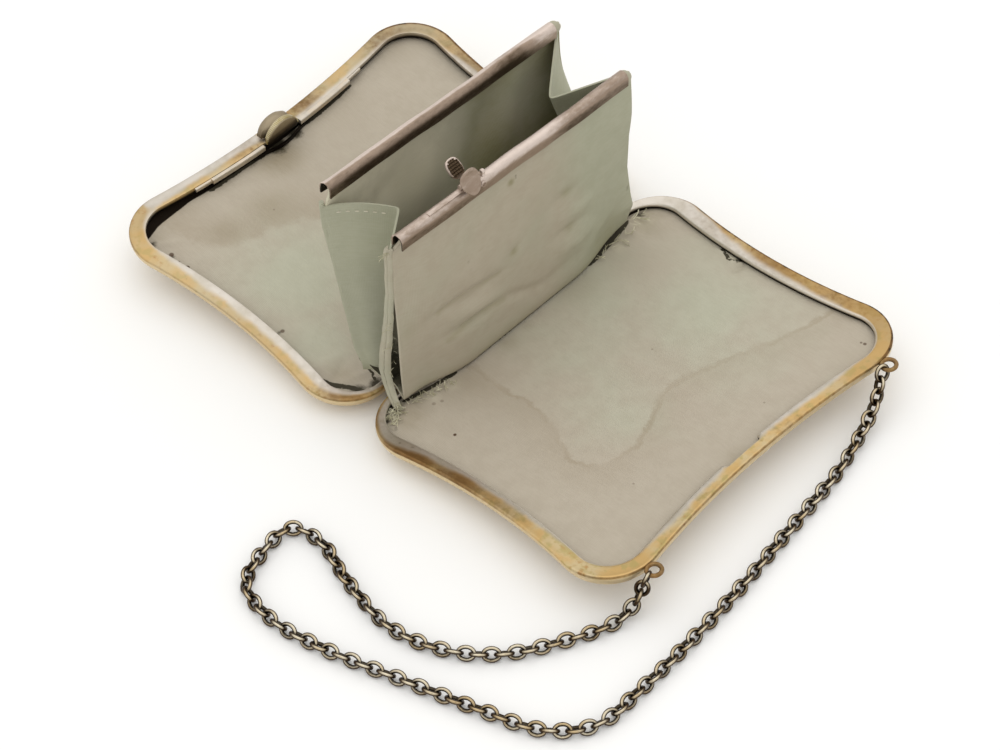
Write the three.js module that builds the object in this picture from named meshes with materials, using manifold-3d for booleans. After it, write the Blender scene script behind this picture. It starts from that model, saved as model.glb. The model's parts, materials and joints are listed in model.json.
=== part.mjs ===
// Small gilt-silver coin purse lying open like a book, with a standing silk pocket and a carrying chain.
// Millimetres, +Z up. X crosses the hinge, Y runs along it, and the front cover lies towards +X.
import * as THREE from "three";
import { mergeVertices } from "three/addons/utils/BufferGeometryUtils.js";
import Module from "manifold-3d";

const wasm = await Module();
wasm.setup();

const { degToRad, lerp, smoothstep } = THREE.MathUtils;

// Driving dimensions
// A cover's outline: straight along the hinge, hollowed by a dip on its other three sides.
const COVER = { width: 90, reach: 72, hingeEdge: 1.1, corner: 10.8, endDip: 2.1, claspDip: 2.7 };
// Each cover rises from the hinge by this angle, where their hinge walls stop them.
const OPEN_TILT = degToRad(4.3);
const SHELL = { depth: 6.2, lip: 0.8, shoulder: 10, wall: 0.9, steps: 6 };
// The rim turned in over the lining: its gilt band, its whole width, and the narrow part at the hinge.
const RIM = { chamfer: 0.3, band: 2, width: 3.6, atHinge: 1.4, thickness: 0.8, underWall: -1.1 };
// The front rim slopes down inwards, and the back rim rises to fit into it.
const FRONT_BEVEL = { band: -0.15, inner: -0.9 };
const BACK_BEVEL = { band: 0.1, inner: 0.3 };
const SEGMENTS = { corner: 7, end: 8, clasp: 10, hinge: 4, round: 12, channel: 6 };

const HINGE = { reach: 32, knuckles: 5, gap: 0.4, radius: 0.8, bore: 0.55, pin: 0.28 };
const LEAF = { from: 0.6, to: 1.7, low: -0.75, high: -0.25 };
const LINING = { inset: 2.9, bottomInset: 3.2, edge: -1.95, thickness: 1.2, crown: 0.5 };
// The back lining has come away from the rim at one clasp corner.
const LOOSE_CORNER = { x: 66, y: 40, spread: 19, pull: 3.2 };

const CLASP = { y: -1.2, lift: 0.65, stemHalf: 2, stemHeight: 2 };
const DISC = { radius: 4.4, from: 64.3, to: 65.7 };
const THUMB = { radius: 4.4, from: 66.3, to: 68.6, flatten: 0.78 };
const TONGUE = { from: 65.9, to: 66.9, halfWidth: 1.2, bottom: -1.5 };
const SLOT = { from: 63.5, to: 67.6, halfWidth: 1.6 };
const NOTCH = { from: 64.5, to: 67.2, halfWidth: 4.8, depth: 3 };
const BEZEL = { inner: 4.7, outer: 3.4, low: -0.45, high: 0.75, ends: [[-21, -6.4], [4.2, 20]] };
const SPRING = { from: -9.5, to: 7, ends: 65.2, middle: 63.9, leaf: 0.5, low: -1.5, high: -0.8, steps: 14 };
const LOOP = { x: 73.6, y: 34.8, z: -0.6, ring: 1.5, wire: 0.4, sides: 6 };

// The pocket is one strip of silk folded into a trough; both tables run from the rim down to the foot.
const POCKET = { middleY: -1, half: 33, cloth: 1, taper: 0.00094, rows: 30, columns: 14 };
const FRONT_WALL = [
  { x: 6.7, z: 46.6 },
  { x: 7, z: 32 },
  { x: 7.1, z: 18 },
  { x: 7.1, z: 7 },
  { x: 6.8, z: -0.45 },
];
const POCKET_FLOOR = [
  { x: 4.9, z: 1.6 },
  { x: 2.4, z: 2.6 },
  { x: -1.8, z: 2.9 },
];
const BACK_WALL = [
  { x: -13, z: 47.5 },
  { x: -12.8, z: 38 },
  { x: -10.8, z: 28.5 },
  { x: -8.6, z: 14.8 },
  { x: -7.2, z: 7.2 },
  { x: -5.2, z: 4 },
];
// Towards both ends the front wall draws in to the hinge below this height, and its foot lifts over the rim.
const FOOT_DRAW = { fromY: 15, toY: 34, height: 42, keep: 0.6, lift: 1.4, liftHeight: 12 };
// Soft dents and swells in the front wall: where, how wide, and how far in (negative) or out.
const WALL_FOLDS = [
  { y: -20, z: 16, spreadY: 7, spreadZ: 5, out: -0.7 },
  { y: -12, z: 24, spreadY: 12, spreadZ: 8, out: 0.6 },
  { y: 14, z: 14, spreadY: 11, spreadZ: 7, out: 0.6 },
];
const GUSSET = { bottom: 4.4, foldBottom: 2.2, clear: 1.35, seam: 0.6, rows: 12, columns: 8 };
// Each gusset's end of the pocket, how deep its fold stands in, and its height at the walls and at the fold.
const NEAR_GUSSET = { end: -1, fold: 11, edgeTop: 43.4, foldTop: 40.8 };
const FAR_GUSSET = { end: 1, fold: 12.5, edgeTop: 46.6, foldTop: 41.6 };
const CHANNEL = { width: 2.8, side: 1.7, slot: 1.6, slotDepth: 1.9, clear: 0.35, near: -32.6, far: 31.2 };
const CATCH = { y: -13.2, barrel: 0.5, length: 4.4, clear: 0.3, plate: 0.8, armReach: 4.6, armWidth: 2.2 };
const TAB = { radius: 2.2, foot: 0.45, from: -0.2 };
const HOOK = { halfWidth: 1.8, low: -2, high: 1.8 };
const EAR = { radius: 0.75, thickness: 0.8, gap: 0.35 };

// The chain's way from one loop to the other: where it hangs z is given, elsewhere it lies on the floor.
const CHAIN = { radius: 1.3, sides: 8, steps: 78 };
const CHAIN_ROUTE = [
  { x: 73.9, y: 34.5, z: 3.2 },
  { x: 75.2, y: 28.4, z: -0.9 },
  { x: 76.6, y: 23.5, z: -2.7 },
  { x: 78, y: 18, z: -3.6 },
  { x: 79.2, y: 13 },
  { x: 82, y: -7 },
  { x: 84, y: -22 },
  { x: 85.4, y: -38 },
  { x: 86, y: -52 },
  { x: 85.4, y: -64 },
  { x: 79, y: -71.5 },
  { x: 66, y: -76.5 },
  { x: 50, y: -81.5 },
  { x: 35, y: -86 },
  { x: 22, y: -88 },
  { x: 12.4, y: -85.6 },
  { x: 8.8, y: -78 },
  { x: 8.6, y: -70 },
  { x: 15.5, y: -68.4 },
  { x: 26, y: -71.6 },
  { x: 40, y: -74 },
  { x: 51, y: -71.3 },
  { x: 60.5, y: -64.5 },
  { x: 68, y: -53 },
  { x: 71.4, y: -45.5 },
  { x: 72.2, y: -42, z: -3.4 },
  { x: 72.5, y: -39.2, z: -1.6 },
  { x: 73.6, y: -35, z: 3.2 },
];

// The purse rests on the two covers' shoulders, so the floor lies this far below the hinge.
function floorBelowHinge() {
  let deepest = 0;
  for (const ring of shoulderRings(SHELL.depth, 0)) {
    const x = COVER.hingeEdge + ring.inset;
    deepest = Math.max(deepest, -ring.z * Math.cos(OPEN_TILT) - x * Math.sin(OPEN_TILT));
  }
  return deepest;
}

// Materials
const materials = {
  gilt: new THREE.MeshStandardMaterial({ color: 0xc9ad72, roughness: 0.35, metalness: 1 }),
  silver: new THREE.MeshStandardMaterial({ color: 0xb9a79c, roughness: 0.4, metalness: 1 }),
  steel: new THREE.MeshStandardMaterial({ color: 0x4a4038, roughness: 0.5, metalness: 1 }),
  lining: new THREE.MeshStandardMaterial({ color: 0xb2aa96, roughness: 0.8, metalness: 0 }),
  pocketSilk: new THREE.MeshStandardMaterial({ color: 0xa5a48d, roughness: 0.8, metalness: 0 }),
  chain: new THREE.MeshStandardMaterial({ color: 0x7a6a4e, roughness: 0.4, metalness: 1 }),
};

// Mesh helpers
function meshFrom(vertices, triangles) {
  const geometry = new THREE.BufferGeometry();
  const numbers = vertices.flatMap((p) => [p.x, p.y, p.z]);
  geometry.setAttribute("position", new THREE.Float32BufferAttribute(numbers, 3));
  geometry.setIndex(triangles.flat());
  return geometry;
}

function signedVolume(vertices, triangles) {
  let six = 0;
  for (const [a, b, c] of triangles) {
    six += vertices[a].dot(vertices[b].clone().cross(vertices[c]));
  }
  return six / 6;
}

// A closed mesh from points and triangles, with its faces turned outwards.
function closedMesh(vertices, triangles) {
  const outward = signedVolume(vertices, triangles) > 0;
  return meshFrom(vertices, outward ? triangles : triangles.map(([a, b, c]) => [a, c, b]));
}

// A solid skinned over rings of points, closed at both ends by a fan about each ring's middle.
function loftedSolid(rings) {
  const count = rings[0].length;
  const vertices = rings.flat();
  const triangles = [];
  for (let r = 0; r + 1 < rings.length; r += 1) {
    for (let k = 0; k < count; k += 1) {
      const next = (k + 1) % count;
      const [a, b, c, d] = [r * count + k, r * count + next, (r + 1) * count + next, (r + 1) * count + k];
      triangles.push([a, b, c], [a, c, d]);
    }
  }
  for (const [ring, turn] of [[0, 1], [rings.length - 1, -1]]) {
    const middle = new THREE.Vector3();
    rings[ring].forEach((p) => middle.addScaledVector(p, 1 / count));
    vertices.push(middle);
    for (let k = 0; k < count; k += 1) {
      const [a, b] = [ring * count + k, ring * count + ((k + 1) % count)];
      triangles.push(turn > 0 ? [vertices.length - 1, b, a] : [vertices.length - 1, a, b]);
    }
  }
  return closedMesh(vertices, triangles);
}

// A sheet of even thickness about the surface point(u, v), with u and v from 0 to 1.
function clothSheet(point, rows, columns, thickness) {
  const vertices = [];
  const step = 1e-3;
  for (const side of [0.5, -0.5]) {
    for (let i = 0; i <= rows; i += 1) {
      for (let j = 0; j <= columns; j += 1) {
        const [u, v] = [i / rows, j / columns];
        const alongU = point(u + step, v).sub(point(u - step, v));
        const alongV = point(u, v + step).sub(point(u, v - step));
        const normal = alongU.cross(alongV).normalize();
        vertices.push(point(u, v).addScaledVector(normal, side * thickness));
      }
    }
  }
  const layer = (rows + 1) * (columns + 1);
  const at = (i, j, under) => i * (columns + 1) + j + (under ? layer : 0);
  const triangles = [];
  for (let i = 0; i < rows; i += 1) {
    for (let j = 0; j < columns; j += 1) {
      for (const under of [false, true]) {
        const quad = [at(i, j, under), at(i + 1, j, under), at(i + 1, j + 1, under), at(i, j + 1, under)];
        const [a, b, c, d] = under ? quad.reverse() : quad;
        triangles.push([a, b, c], [a, c, d]);
      }
    }
  }
  const edge = [];
  for (let i = 0; i < rows; i += 1) edge.push([i, 0]);
  for (let j = 0; j < columns; j += 1) edge.push([rows, j]);
  for (let i = rows; i > 0; i -= 1) edge.push([i, columns]);
  for (let j = columns; j > 0; j -= 1) edge.push([0, j]);
  edge.forEach(([i, j], k) => {
    const [m, n] = edge[(k + 1) % edge.length];
    const [a, b, c, d] = [at(i, j, false), at(i, j, true), at(m, n, true), at(m, n, false)];
    triangles.push([a, b, c], [a, c, d]);
  });
  return closedMesh(vertices, triangles);
}

// Booleans
function solidOf(geometry) {
  const bare = geometry.clone();
  bare.deleteAttribute("normal");
  bare.deleteAttribute("uv");
  const merged = mergeVertices(bare, 1e-4);
  return new wasm.Manifold(new wasm.Mesh({
    numProp: 3,
    vertProperties: new Float32Array(merged.attributes.position.array),
    triVerts: new Uint32Array(merged.index.array),
  }));
}

function geometryOf(solid) {
  const mesh = solid.getMesh();
  const geometry = new THREE.BufferGeometry();
  geometry.setAttribute("position", new THREE.BufferAttribute(mesh.vertProperties, 3));
  geometry.setIndex(new THREE.BufferAttribute(mesh.triVerts, 1));
  return geometry;
}

function joined(geometries) {
  return geometries.map(solidOf).reduce((whole, piece) => whole.add(piece));
}

// A box from one corner to the opposite one.
function boxBetween(low, high) {
  const size = high.map((value, axis) => value - low[axis]);
  const geometry = new THREE.BoxGeometry(...size);
  return geometry.translate(...low.map((value, axis) => value + size[axis] / 2));
}

// A plate across X with a round top: the upper half of a disc, over a straight foot of the same width.
function roundTopped(radius, foot, fromX, toX, y, base) {
  const shape = new THREE.Shape();
  shape.absarc(0, 0, radius, 0, Math.PI, false);
  if (foot > 0) {
    shape.lineTo(-radius, -foot);
    shape.lineTo(radius, -foot);
  }
  const options = { depth: toX - fromX, bevelEnabled: false, curveSegments: SEGMENTS.round };
  const bar = new THREE.ExtrudeGeometry(shape, options);
  bar.rotateX(Math.PI / 2).rotateZ(Math.PI / 2);
  return bar.translate(fromX, y, base);
}

// A tube about the Y axis, or a rod where its bore is 0.
function tubeAlongY(radius, bore, fromY, toY) {
  const profile = [[bore, fromY], [radius, fromY], [radius, toY], [bore, toY]];
  if (bore > 0) profile.push([bore, fromY]);
  const points = profile.map(([r, y]) => new THREE.Vector2(r, y));
  return new THREE.LatheGeometry(points, SEGMENTS.round);
}

// Covers
// One hollowed side between two corner circles: an arc that touches both, or a straight line where dip is 0.
function sidePoints(start, end, radius, dip, steps) {
  const half = start.distanceTo(end) / 2;
  const along = end.clone().sub(start).divideScalar(2 * half);
  const outward = new THREE.Vector2(along.y, -along.x);
  const middle = start.clone().lerp(end, 0.5);
  const points = [];
  const bend = dip > 0 ? (half * half + dip * dip) / (2 * dip) : 0;
  const sweep = dip > 0 ? Math.atan2(half, bend - dip) : 0;
  for (let k = 0; k <= steps; k += 1) {
    const t = (2 * k) / steps - 1;
    const point = middle.clone();
    if (dip > 0) {
      const arc = bend - radius;
      point.addScaledVector(along, arc * Math.sin(t * sweep));
      point.addScaledVector(outward, radius - dip + arc - arc * Math.cos(t * sweep));
    } else {
      point.addScaledVector(along, t * half).addScaledVector(outward, radius);
    }
    points.push(point);
  }
  return points;
}

// The cover's outline moved in by inset, counter-clockwise, with its hinge side moved in by hingeInset.
function coverOutline(inset, hingeInset = inset) {
  const radius = COVER.corner - inset;
  const hingeX = COVER.hingeEdge + hingeInset + radius;
  const claspX = COVER.reach - COVER.corner;
  const y = COVER.width / 2 - COVER.corner;
  const centres = [[hingeX, -y], [claspX, -y], [claspX, y], [hingeX, y]].map((c) => new THREE.Vector2(...c));
  const dips = [COVER.endDip, COVER.claspDip, COVER.endDip, 0];
  const steps = [SEGMENTS.end, SEGMENTS.clasp, SEGMENTS.end, SEGMENTS.hinge];
  const sides = centres.map((c, k) => sidePoints(c, centres[(k + 1) % 4], radius, dips[k], steps[k]));
  const outline = [];
  sides.forEach((side, k) => {
    const centre = centres[(k + 1) % 4];
    const first = side[side.length - 1].clone().sub(centre).angle();
    let last = sides[(k + 1) % 4][0].clone().sub(centre).angle();
    if (last < first) last += 2 * Math.PI;
    outline.push(...side);
    for (let m = 1; m < SEGMENTS.corner; m += 1) {
      const angle = lerp(first, last, m / SEGMENTS.corner);
      outline.push(centre.clone().add(new THREE.Vector2(radius * Math.cos(angle), radius * Math.sin(angle))));
    }
  });
  return outline;
}

function outlineRing(inset, z, hingeInset = inset) {
  return coverOutline(inset, hingeInset).map((p) => new THREE.Vector3(p.x, p.y, z));
}

// The shell's rounded shoulder, from the flat back up to the side wall, drawn in by the wall's thickness.
function shoulderRings(depth, wall) {
  const rings = [];
  for (let k = SHELL.steps; k >= 0; k -= 1) {
    const angle = (k / SHELL.steps) * (Math.PI / 2);
    const inset = wall + (SHELL.shoulder - wall) * (1 - Math.cos(angle));
    rings.push({ inset, z: -SHELL.lip - (depth - SHELL.lip) * Math.sin(angle) });
  }
  return rings;
}

// A shallow dish of sheet metal with its rim turned in.
function coverShell(bevel) {
  const outside = shoulderRings(SHELL.depth, 0).map((r) => outlineRing(r.inset, r.z));
  const narrow = (inset) => (inset * RIM.atHinge) / RIM.width;
  const rim = [
    outlineRing(RIM.chamfer, 0),
    outlineRing(RIM.band, bevel.band, narrow(RIM.band)),
    outlineRing(RIM.width, bevel.inner, RIM.atHinge),
    outlineRing(RIM.width, bevel.inner - RIM.thickness, RIM.atHinge),
    outlineRing(SHELL.wall, RIM.underWall),
  ];
  const insideRings = shoulderRings(SHELL.depth - SHELL.wall, SHELL.wall).slice(0, SHELL.steps).reverse();
  const inside = insideRings.map((r) => outlineRing(r.inset, r.z));
  return loftedSolid([...outside, ...rim, ...inside]);
}

// Every second knuckle of the hinge, with the leaf that joins it to its cover.
function knuckles(first) {
  const pieces = [];
  const length = (2 * HINGE.reach) / HINGE.knuckles;
  for (let k = first; k < HINGE.knuckles; k += 2) {
    const from = -HINGE.reach + k * length + HINGE.gap / 2;
    const to = from + length - HINGE.gap;
    pieces.push(tubeAlongY(HINGE.radius, HINGE.bore, from, to));
    pieces.push(boxBetween([LEAF.from, from, LEAF.low], [LEAF.to, to, LEAF.high]));
  }
  return pieces;
}

function frontCover() {
  const loops = [-1, 1].map((end) => {
    const ring = new THREE.TorusGeometry(LOOP.ring, LOOP.wire, LOOP.sides, SEGMENTS.round);
    return ring.translate(LOOP.x, end * LOOP.y, LOOP.z);
  });
  const notch = boxBetween(
    [NOTCH.from, CLASP.y - NOTCH.halfWidth, -NOTCH.depth],
    [NOTCH.to, CLASP.y + NOTCH.halfWidth, 1],
  );
  return geometryOf(joined([coverShell(FRONT_BEVEL), ...knuckles(0), ...loops]).subtract(solidOf(notch)));
}

// A strip soldered on the back rim's clasp side, which fits inside the closed front rim.
function bezelStrip([fromY, toY]) {
  const steps = 8;
  const claspSide = (inset, y) => {
    const half = COVER.width / 2 - COVER.corner;
    const sideBend = (half * half + COVER.claspDip * COVER.claspDip) / (2 * COVER.claspDip);
    const bend = sideBend - COVER.corner + inset;
    const farthest = COVER.reach - COVER.claspDip - inset + bend;
    return farthest - Math.sqrt(bend * bend - y * y);
  };
  const rings = [];
  for (let k = 0; k <= steps; k += 1) {
    const y = lerp(fromY, toY, k / steps);
    const [inner, outer] = [claspSide(BEZEL.inner, y), claspSide(BEZEL.outer, y)];
    const section = [[inner, BEZEL.low], [outer, BEZEL.low], [outer, BEZEL.high], [inner, BEZEL.high]];
    rings.push(section.map(([x, z]) => new THREE.Vector3(x, y, z)));
  }
  return loftedSolid(rings);
}

// Pieces of the back cover are laid out in its own frame, whose Y runs the other way.
function turnedOver(geometry) {
  return geometry.rotateZ(Math.PI);
}

function backCover() {
  const slot = boxBetween(
    [-SLOT.to, CLASP.y - SLOT.halfWidth, -NOTCH.depth],
    [-SLOT.from, CLASP.y + SLOT.halfWidth, 1],
  );
  const strips = BEZEL.ends.map(([from, to]) => turnedOver(bezelStrip([-to, -from])));
  const shell = turnedOver(coverShell(BACK_BEVEL));
  const barrels = knuckles(1).map(turnedOver);
  return geometryOf(joined([shell, ...barrels, ...strips]).subtract(solidOf(slot)));
}

// A silk-covered board under the rim, a little crowned. Its loose corner is drawn in where it has come away.
function liningPanel(loose) {
  const rings = [
    { inset: LINING.bottomInset, z: LINING.edge - LINING.thickness },
    { inset: LINING.inset, z: LINING.edge },
    { inset: 5.5, z: LINING.edge + 0.4 * LINING.crown },
    { inset: 9.5, z: LINING.edge + 0.8 * LINING.crown },
  ];
  return loftedSolid(rings.map(({ inset, z }) => {
    const ring = outlineRing(inset, z);
    if (!loose) return ring;
    return ring.map((p) => {
      const away = Math.hypot(p.x - LOOSE_CORNER.x, p.y - LOOSE_CORNER.y) / LOOSE_CORNER.spread;
      const pull = LOOSE_CORNER.pull * Math.exp(-away * away);
      return p.add(new THREE.Vector3(-pull, -pull * 0.6, 0));
    });
  }));
}

// The spring clasp: milled disc inside, thumb-piece outside, and the tongue in the slot that carries them.
function claspButton() {
  const { y, lift, stemHalf, stemHeight } = CLASP;
  const pieces = [
    roundTopped(DISC.radius, 0, -DISC.to, -DISC.from, y, lift),
    roundTopped(THUMB.radius, 0, -THUMB.to, -THUMB.from, y, lift).scale(1, 1, THUMB.flatten),
    boxBetween([-THUMB.to, y - stemHalf, lift], [-DISC.from, y + stemHalf, lift + stemHeight]),
    boxBetween(
      [-TONGUE.to, y - TONGUE.halfWidth, TONGUE.bottom],
      [-TONGUE.from, y + TONGUE.halfWidth, lift + stemHeight],
    ),
  ];
  return geometryOf(joined(pieces));
}

// A bowed leaf spring along the clasp side, under the rim.
function claspSpring() {
  const rings = [];
  for (let k = 0; k <= SPRING.steps; k += 1) {
    const t = k / SPRING.steps;
    const y = lerp(SPRING.from, SPRING.to, t);
    const x = -lerp(SPRING.ends, SPRING.middle, Math.sin(Math.PI * t) ** 2);
    const [low, high] = [SPRING.low, SPRING.high];
    const section = [[x, low], [x + SPRING.leaf, low], [x + SPRING.leaf, high], [x, high]];
    rings.push(section.map(([px, pz]) => new THREE.Vector3(px, y, pz)));
  }
  return loftedSolid(rings);
}

// Pocket
// The pocket stands a little higher towards its near end.
function leanTop(z, y) {
  return z * (1 - POCKET.taper * (y - POCKET.middleY));
}

const trough = new THREE.SplineCurve(
  [...FRONT_WALL, ...POCKET_FLOOR, ...BACK_WALL.toReversed()].map((row) => new THREE.Vector2(row.x, row.z)),
);

// How far the front wall is drawn in at this place: 0 in the middle, 1 at the end of the foot.
function footDraw(y, z, height = FOOT_DRAW.height) {
  const out = smoothstep(Math.abs(y - POCKET.middleY), FOOT_DRAW.fromY, FOOT_DRAW.toY);
  return out * (1 - smoothstep(z, 0, height));
}

function pocketPoint(u, v) {
  const { x, y: z } = trough.getPoint(Math.min(Math.max(u, 0), 1));
  const y = POCKET.middleY + lerp(-POCKET.half, POCKET.half, v);
  const draw = x > 0 ? footDraw(y, z) : 0;
  let across = x * (1 - (1 - FOOT_DRAW.keep) * draw);
  if (x > 6) {
    for (const fold of WALL_FOLDS) {
      const [a, b] = [(y - fold.y) / fold.spreadY, (z - fold.z) / fold.spreadZ];
      across += fold.out * Math.exp(-a * a - b * b);
    }
  }
  const lift = x > 0 ? FOOT_DRAW.lift * footDraw(y, z, FOOT_DRAW.liftHeight) : 0;
  return new THREE.Vector3(across, y, leanTop(z + lift, y));
}

// The x of a wall at height z, from its table.
function wallX(table, z) {
  const upper = table.findIndex((row) => row.z <= z);
  if (upper < 1) return table[upper === 0 ? 0 : table.length - 1].x;
  const [above, below] = [table[upper - 1], table[upper]];
  return lerp(below.x, above.x, (z - below.z) / (above.z - below.z));
}

// A gusset closes one end of the pocket, with a fold that stands inwards between the walls.
function gussetPoint({ end, fold, edgeTop, foldTop }) {
  return (u, v) => {
    const towardsFold = 1 - Math.abs(2 * u - 1);
    const z = lerp(GUSSET.bottom, lerp(edgeTop, foldTop, towardsFold), v);
    const out = POCKET.half - GUSSET.seam - towardsFold * lerp(GUSSET.foldBottom, fold, v);
    const y = POCKET.middleY + end * out;
    const front = wallX(FRONT_WALL, z) * (1 - (1 - FOOT_DRAW.keep) * footDraw(y, z)) - GUSSET.clear;
    const back = wallX(BACK_WALL, z) + GUSSET.clear;
    return new THREE.Vector3(lerp(back, front, u), y, leanTop(z, y));
  };
}

function gusset(shape) {
  return clothSheet(gussetPoint(shape), GUSSET.columns, GUSSET.rows, POCKET.cloth);
}

// A half-round metal channel along Y that clamps a wall's top edge. Its slot opens downwards.
function channel() {
  const half = CHANNEL.width / 2;
  const shape = new THREE.Shape();
  shape.moveTo(half, -CHANNEL.side);
  shape.absarc(0, 0, half, 0, Math.PI, false);
  shape.lineTo(-half, -CHANNEL.side);
  shape.lineTo(-CHANNEL.slot / 2, -CHANNEL.side);
  shape.lineTo(-CHANNEL.slot / 2, CHANNEL.slotDepth - CHANNEL.side);
  shape.lineTo(CHANNEL.slot / 2, CHANNEL.slotDepth - CHANNEL.side);
  shape.lineTo(CHANNEL.slot / 2, -CHANNEL.side);
  const options = { depth: CHANNEL.far - CHANNEL.near, bevelEnabled: false, curveSegments: SEGMENTS.channel };
  const bar = new THREE.ExtrudeGeometry(shape, options);
  return bar.rotateX(Math.PI / 2).translate(0, CHANNEL.far, 0);
}

// The height of the catch's pivot over the channel's middle.
const pivotLift = CHANNEL.width / 2 + CATCH.clear + CATCH.barrel;

// The front channel carries two ears, between which the catch turns.
function frontChannel() {
  const y = CATCH.y - POCKET.middleY;
  const ears = [-1, 1].flatMap((end) => {
    const middle = y + end * (CATCH.length / 2 + EAR.gap + EAR.thickness / 2);
    const [from, to] = [middle - EAR.thickness / 2, middle + EAR.thickness / 2];
    return [
      tubeAlongY(EAR.radius, 0, from, to).translate(0, 0, pivotLift),
      boxBetween([-EAR.radius, from, 0.5], [EAR.radius, to, pivotLift]),
    ];
  });
  return geometryOf(joined([channel(), ...ears]));
}

// The pocket's catch: a barrel between the ears, a round tab on it, and an arm with a milled hook plate.
function pocketCatch() {
  const half = CATCH.length / 2;
  const tabTo = TAB.from + CATCH.plate;
  const arm = CATCH.plate / 2;
  const pieces = [
    tubeAlongY(CATCH.barrel, 0, -half, half),
    roundTopped(TAB.radius, TAB.foot, TAB.from, tabTo, 0, 0),
    boxBetween([-CATCH.armReach - arm, -CATCH.armWidth / 2, -arm], [TAB.from + arm, CATCH.armWidth / 2, arm]),
    boxBetween(
      [-CATCH.armReach - CATCH.plate, -HOOK.halfWidth, HOOK.low],
      [-CATCH.armReach, HOOK.halfWidth, HOOK.high],
    ),
  ];
  return geometryOf(joined(pieces));
}

// Chain
// The chain's outer form: one tube along its way.
function chainTube() {
  const onFloor = CHAIN.radius - floorBelowHinge();
  const points = CHAIN_ROUTE.map((row) => new THREE.Vector3(row.x, row.y, row.z ?? onFloor));
  const section = new THREE.Shape();
  for (let k = 0; k < CHAIN.sides; k += 1) {
    const angle = ((k + 0.5) / CHAIN.sides) * 2 * Math.PI;
    const [x, y] = [CHAIN.radius * Math.cos(angle), CHAIN.radius * Math.sin(angle)];
    if (k === 0) section.moveTo(x, y);
    else section.lineTo(x, y);
  }
  const path = new THREE.CatmullRomCurve3(points, false, "centripetal");
  return new THREE.ExtrudeGeometry(section, { steps: CHAIN.steps, extrudePath: path, bevelEnabled: false });
}

// Assembly
function named(name, geometry, material) {
  const mesh = new THREE.Mesh(geometry, material);
  mesh.name = name;
  return mesh;
}

// The front cover and what is fixed to it rise towards +X, the back cover and its pieces towards -X.
const front = new THREE.Group();
front.rotation.y = -OPEN_TILT;
front.add(
  named("front_cover", frontCover(), materials.gilt),
  named("front_lining", liningPanel(false), materials.lining),
);

const back = new THREE.Group();
back.rotation.y = OPEN_TILT;
back.add(
  named("back_cover", backCover(), materials.gilt),
  named("back_lining", turnedOver(liningPanel(true)), materials.lining),
  named("clasp_button", claspButton(), materials.gilt),
  named("clasp_spring", claspSpring(), materials.steel),
);

// A channel sits on its wall's top edge and follows the lean of the pocket.
function placedOnWall(mesh, wall) {
  mesh.position.set(wall.x, POCKET.middleY, wall.z + CHANNEL.side - CHANNEL.slotDepth + CHANNEL.clear);
  mesh.rotation.x = -Math.atan(POCKET.taper * wall.z);
  return mesh;
}

const frontRim = placedOnWall(named("rim_front", frontChannel(), materials.silver), FRONT_WALL[0]);
const catchMesh = named("pocket_catch", pocketCatch(), materials.silver);
catchMesh.position.set(0, CATCH.y - POCKET.middleY, pivotLift);
frontRim.add(catchMesh);

const pocketSheet = clothSheet(pocketPoint, POCKET.rows, POCKET.columns, POCKET.cloth);
const purse = new THREE.Group();
purse.add(
  front,
  back,
  named("hinge_pin", tubeAlongY(HINGE.pin, 0, -HINGE.reach, HINGE.reach), materials.silver),
  named("pocket_body", pocketSheet, materials.pocketSilk),
  named("gusset_near", gusset(NEAR_GUSSET), materials.pocketSilk),
  named("gusset_far", gusset(FAR_GUSSET), materials.pocketSilk),
  frontRim,
  placedOnWall(named("rim_back", channel(), materials.silver), BACK_WALL[0]),
  named("chain", chainTube(), materials.chain),
);

// The origin is the middle of the purse's box, on the floor.
purse.updateMatrixWorld(true);
const box = new THREE.Box3().setFromObject(purse, true);
purse.position.set(-(box.min.x + box.max.x) / 2, -(box.min.y + box.max.y) / 2, -box.min.z);

export default purse;
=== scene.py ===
# %% [markdown]
# # A worn gilt-silver coin purse, open on a table
# The purse is two shallow silver covers joined by a hinge, lined with silk, with a silk coin pocket that
# stands on the hinge line and a short carrying chain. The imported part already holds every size, so this
# lesson dresses it: each piece is laid out in millimetres about the middle of the hinge, and only its
# finished mesh is put into the part's own frame, in metres. That way the numbers below read like a maker's
# notes.

import json
import math

import bmesh
import bpy
import numpy as np
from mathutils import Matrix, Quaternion, Vector, geometry


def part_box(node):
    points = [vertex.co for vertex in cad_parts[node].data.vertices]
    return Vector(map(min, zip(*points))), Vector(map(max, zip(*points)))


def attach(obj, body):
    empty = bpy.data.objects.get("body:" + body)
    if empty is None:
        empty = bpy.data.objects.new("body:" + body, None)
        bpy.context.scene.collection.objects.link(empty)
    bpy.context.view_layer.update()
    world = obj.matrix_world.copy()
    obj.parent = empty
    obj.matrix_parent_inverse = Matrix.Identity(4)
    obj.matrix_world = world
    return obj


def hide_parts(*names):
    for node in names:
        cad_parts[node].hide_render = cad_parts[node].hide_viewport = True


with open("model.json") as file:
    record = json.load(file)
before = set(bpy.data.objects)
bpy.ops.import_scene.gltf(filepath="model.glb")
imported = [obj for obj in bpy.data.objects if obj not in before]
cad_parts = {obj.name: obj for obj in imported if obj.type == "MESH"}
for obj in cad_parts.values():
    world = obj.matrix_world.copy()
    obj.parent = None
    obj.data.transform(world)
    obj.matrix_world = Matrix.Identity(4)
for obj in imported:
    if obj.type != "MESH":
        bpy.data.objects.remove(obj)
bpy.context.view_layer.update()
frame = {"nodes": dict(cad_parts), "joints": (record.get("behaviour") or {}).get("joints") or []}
scene = bpy.context.scene

MM = 0.001
pin_low, pin_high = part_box("hinge_pin")
HINGE = np.array((pin_low + pin_high) / 2)
press = next(joint for joint in frame["joints"] if joint["name"] == "clasp_press")
TILT = math.atan2(-press["axis"][2], press["axis"][0])
FLOOR = -HINGE[2] / MM


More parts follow.
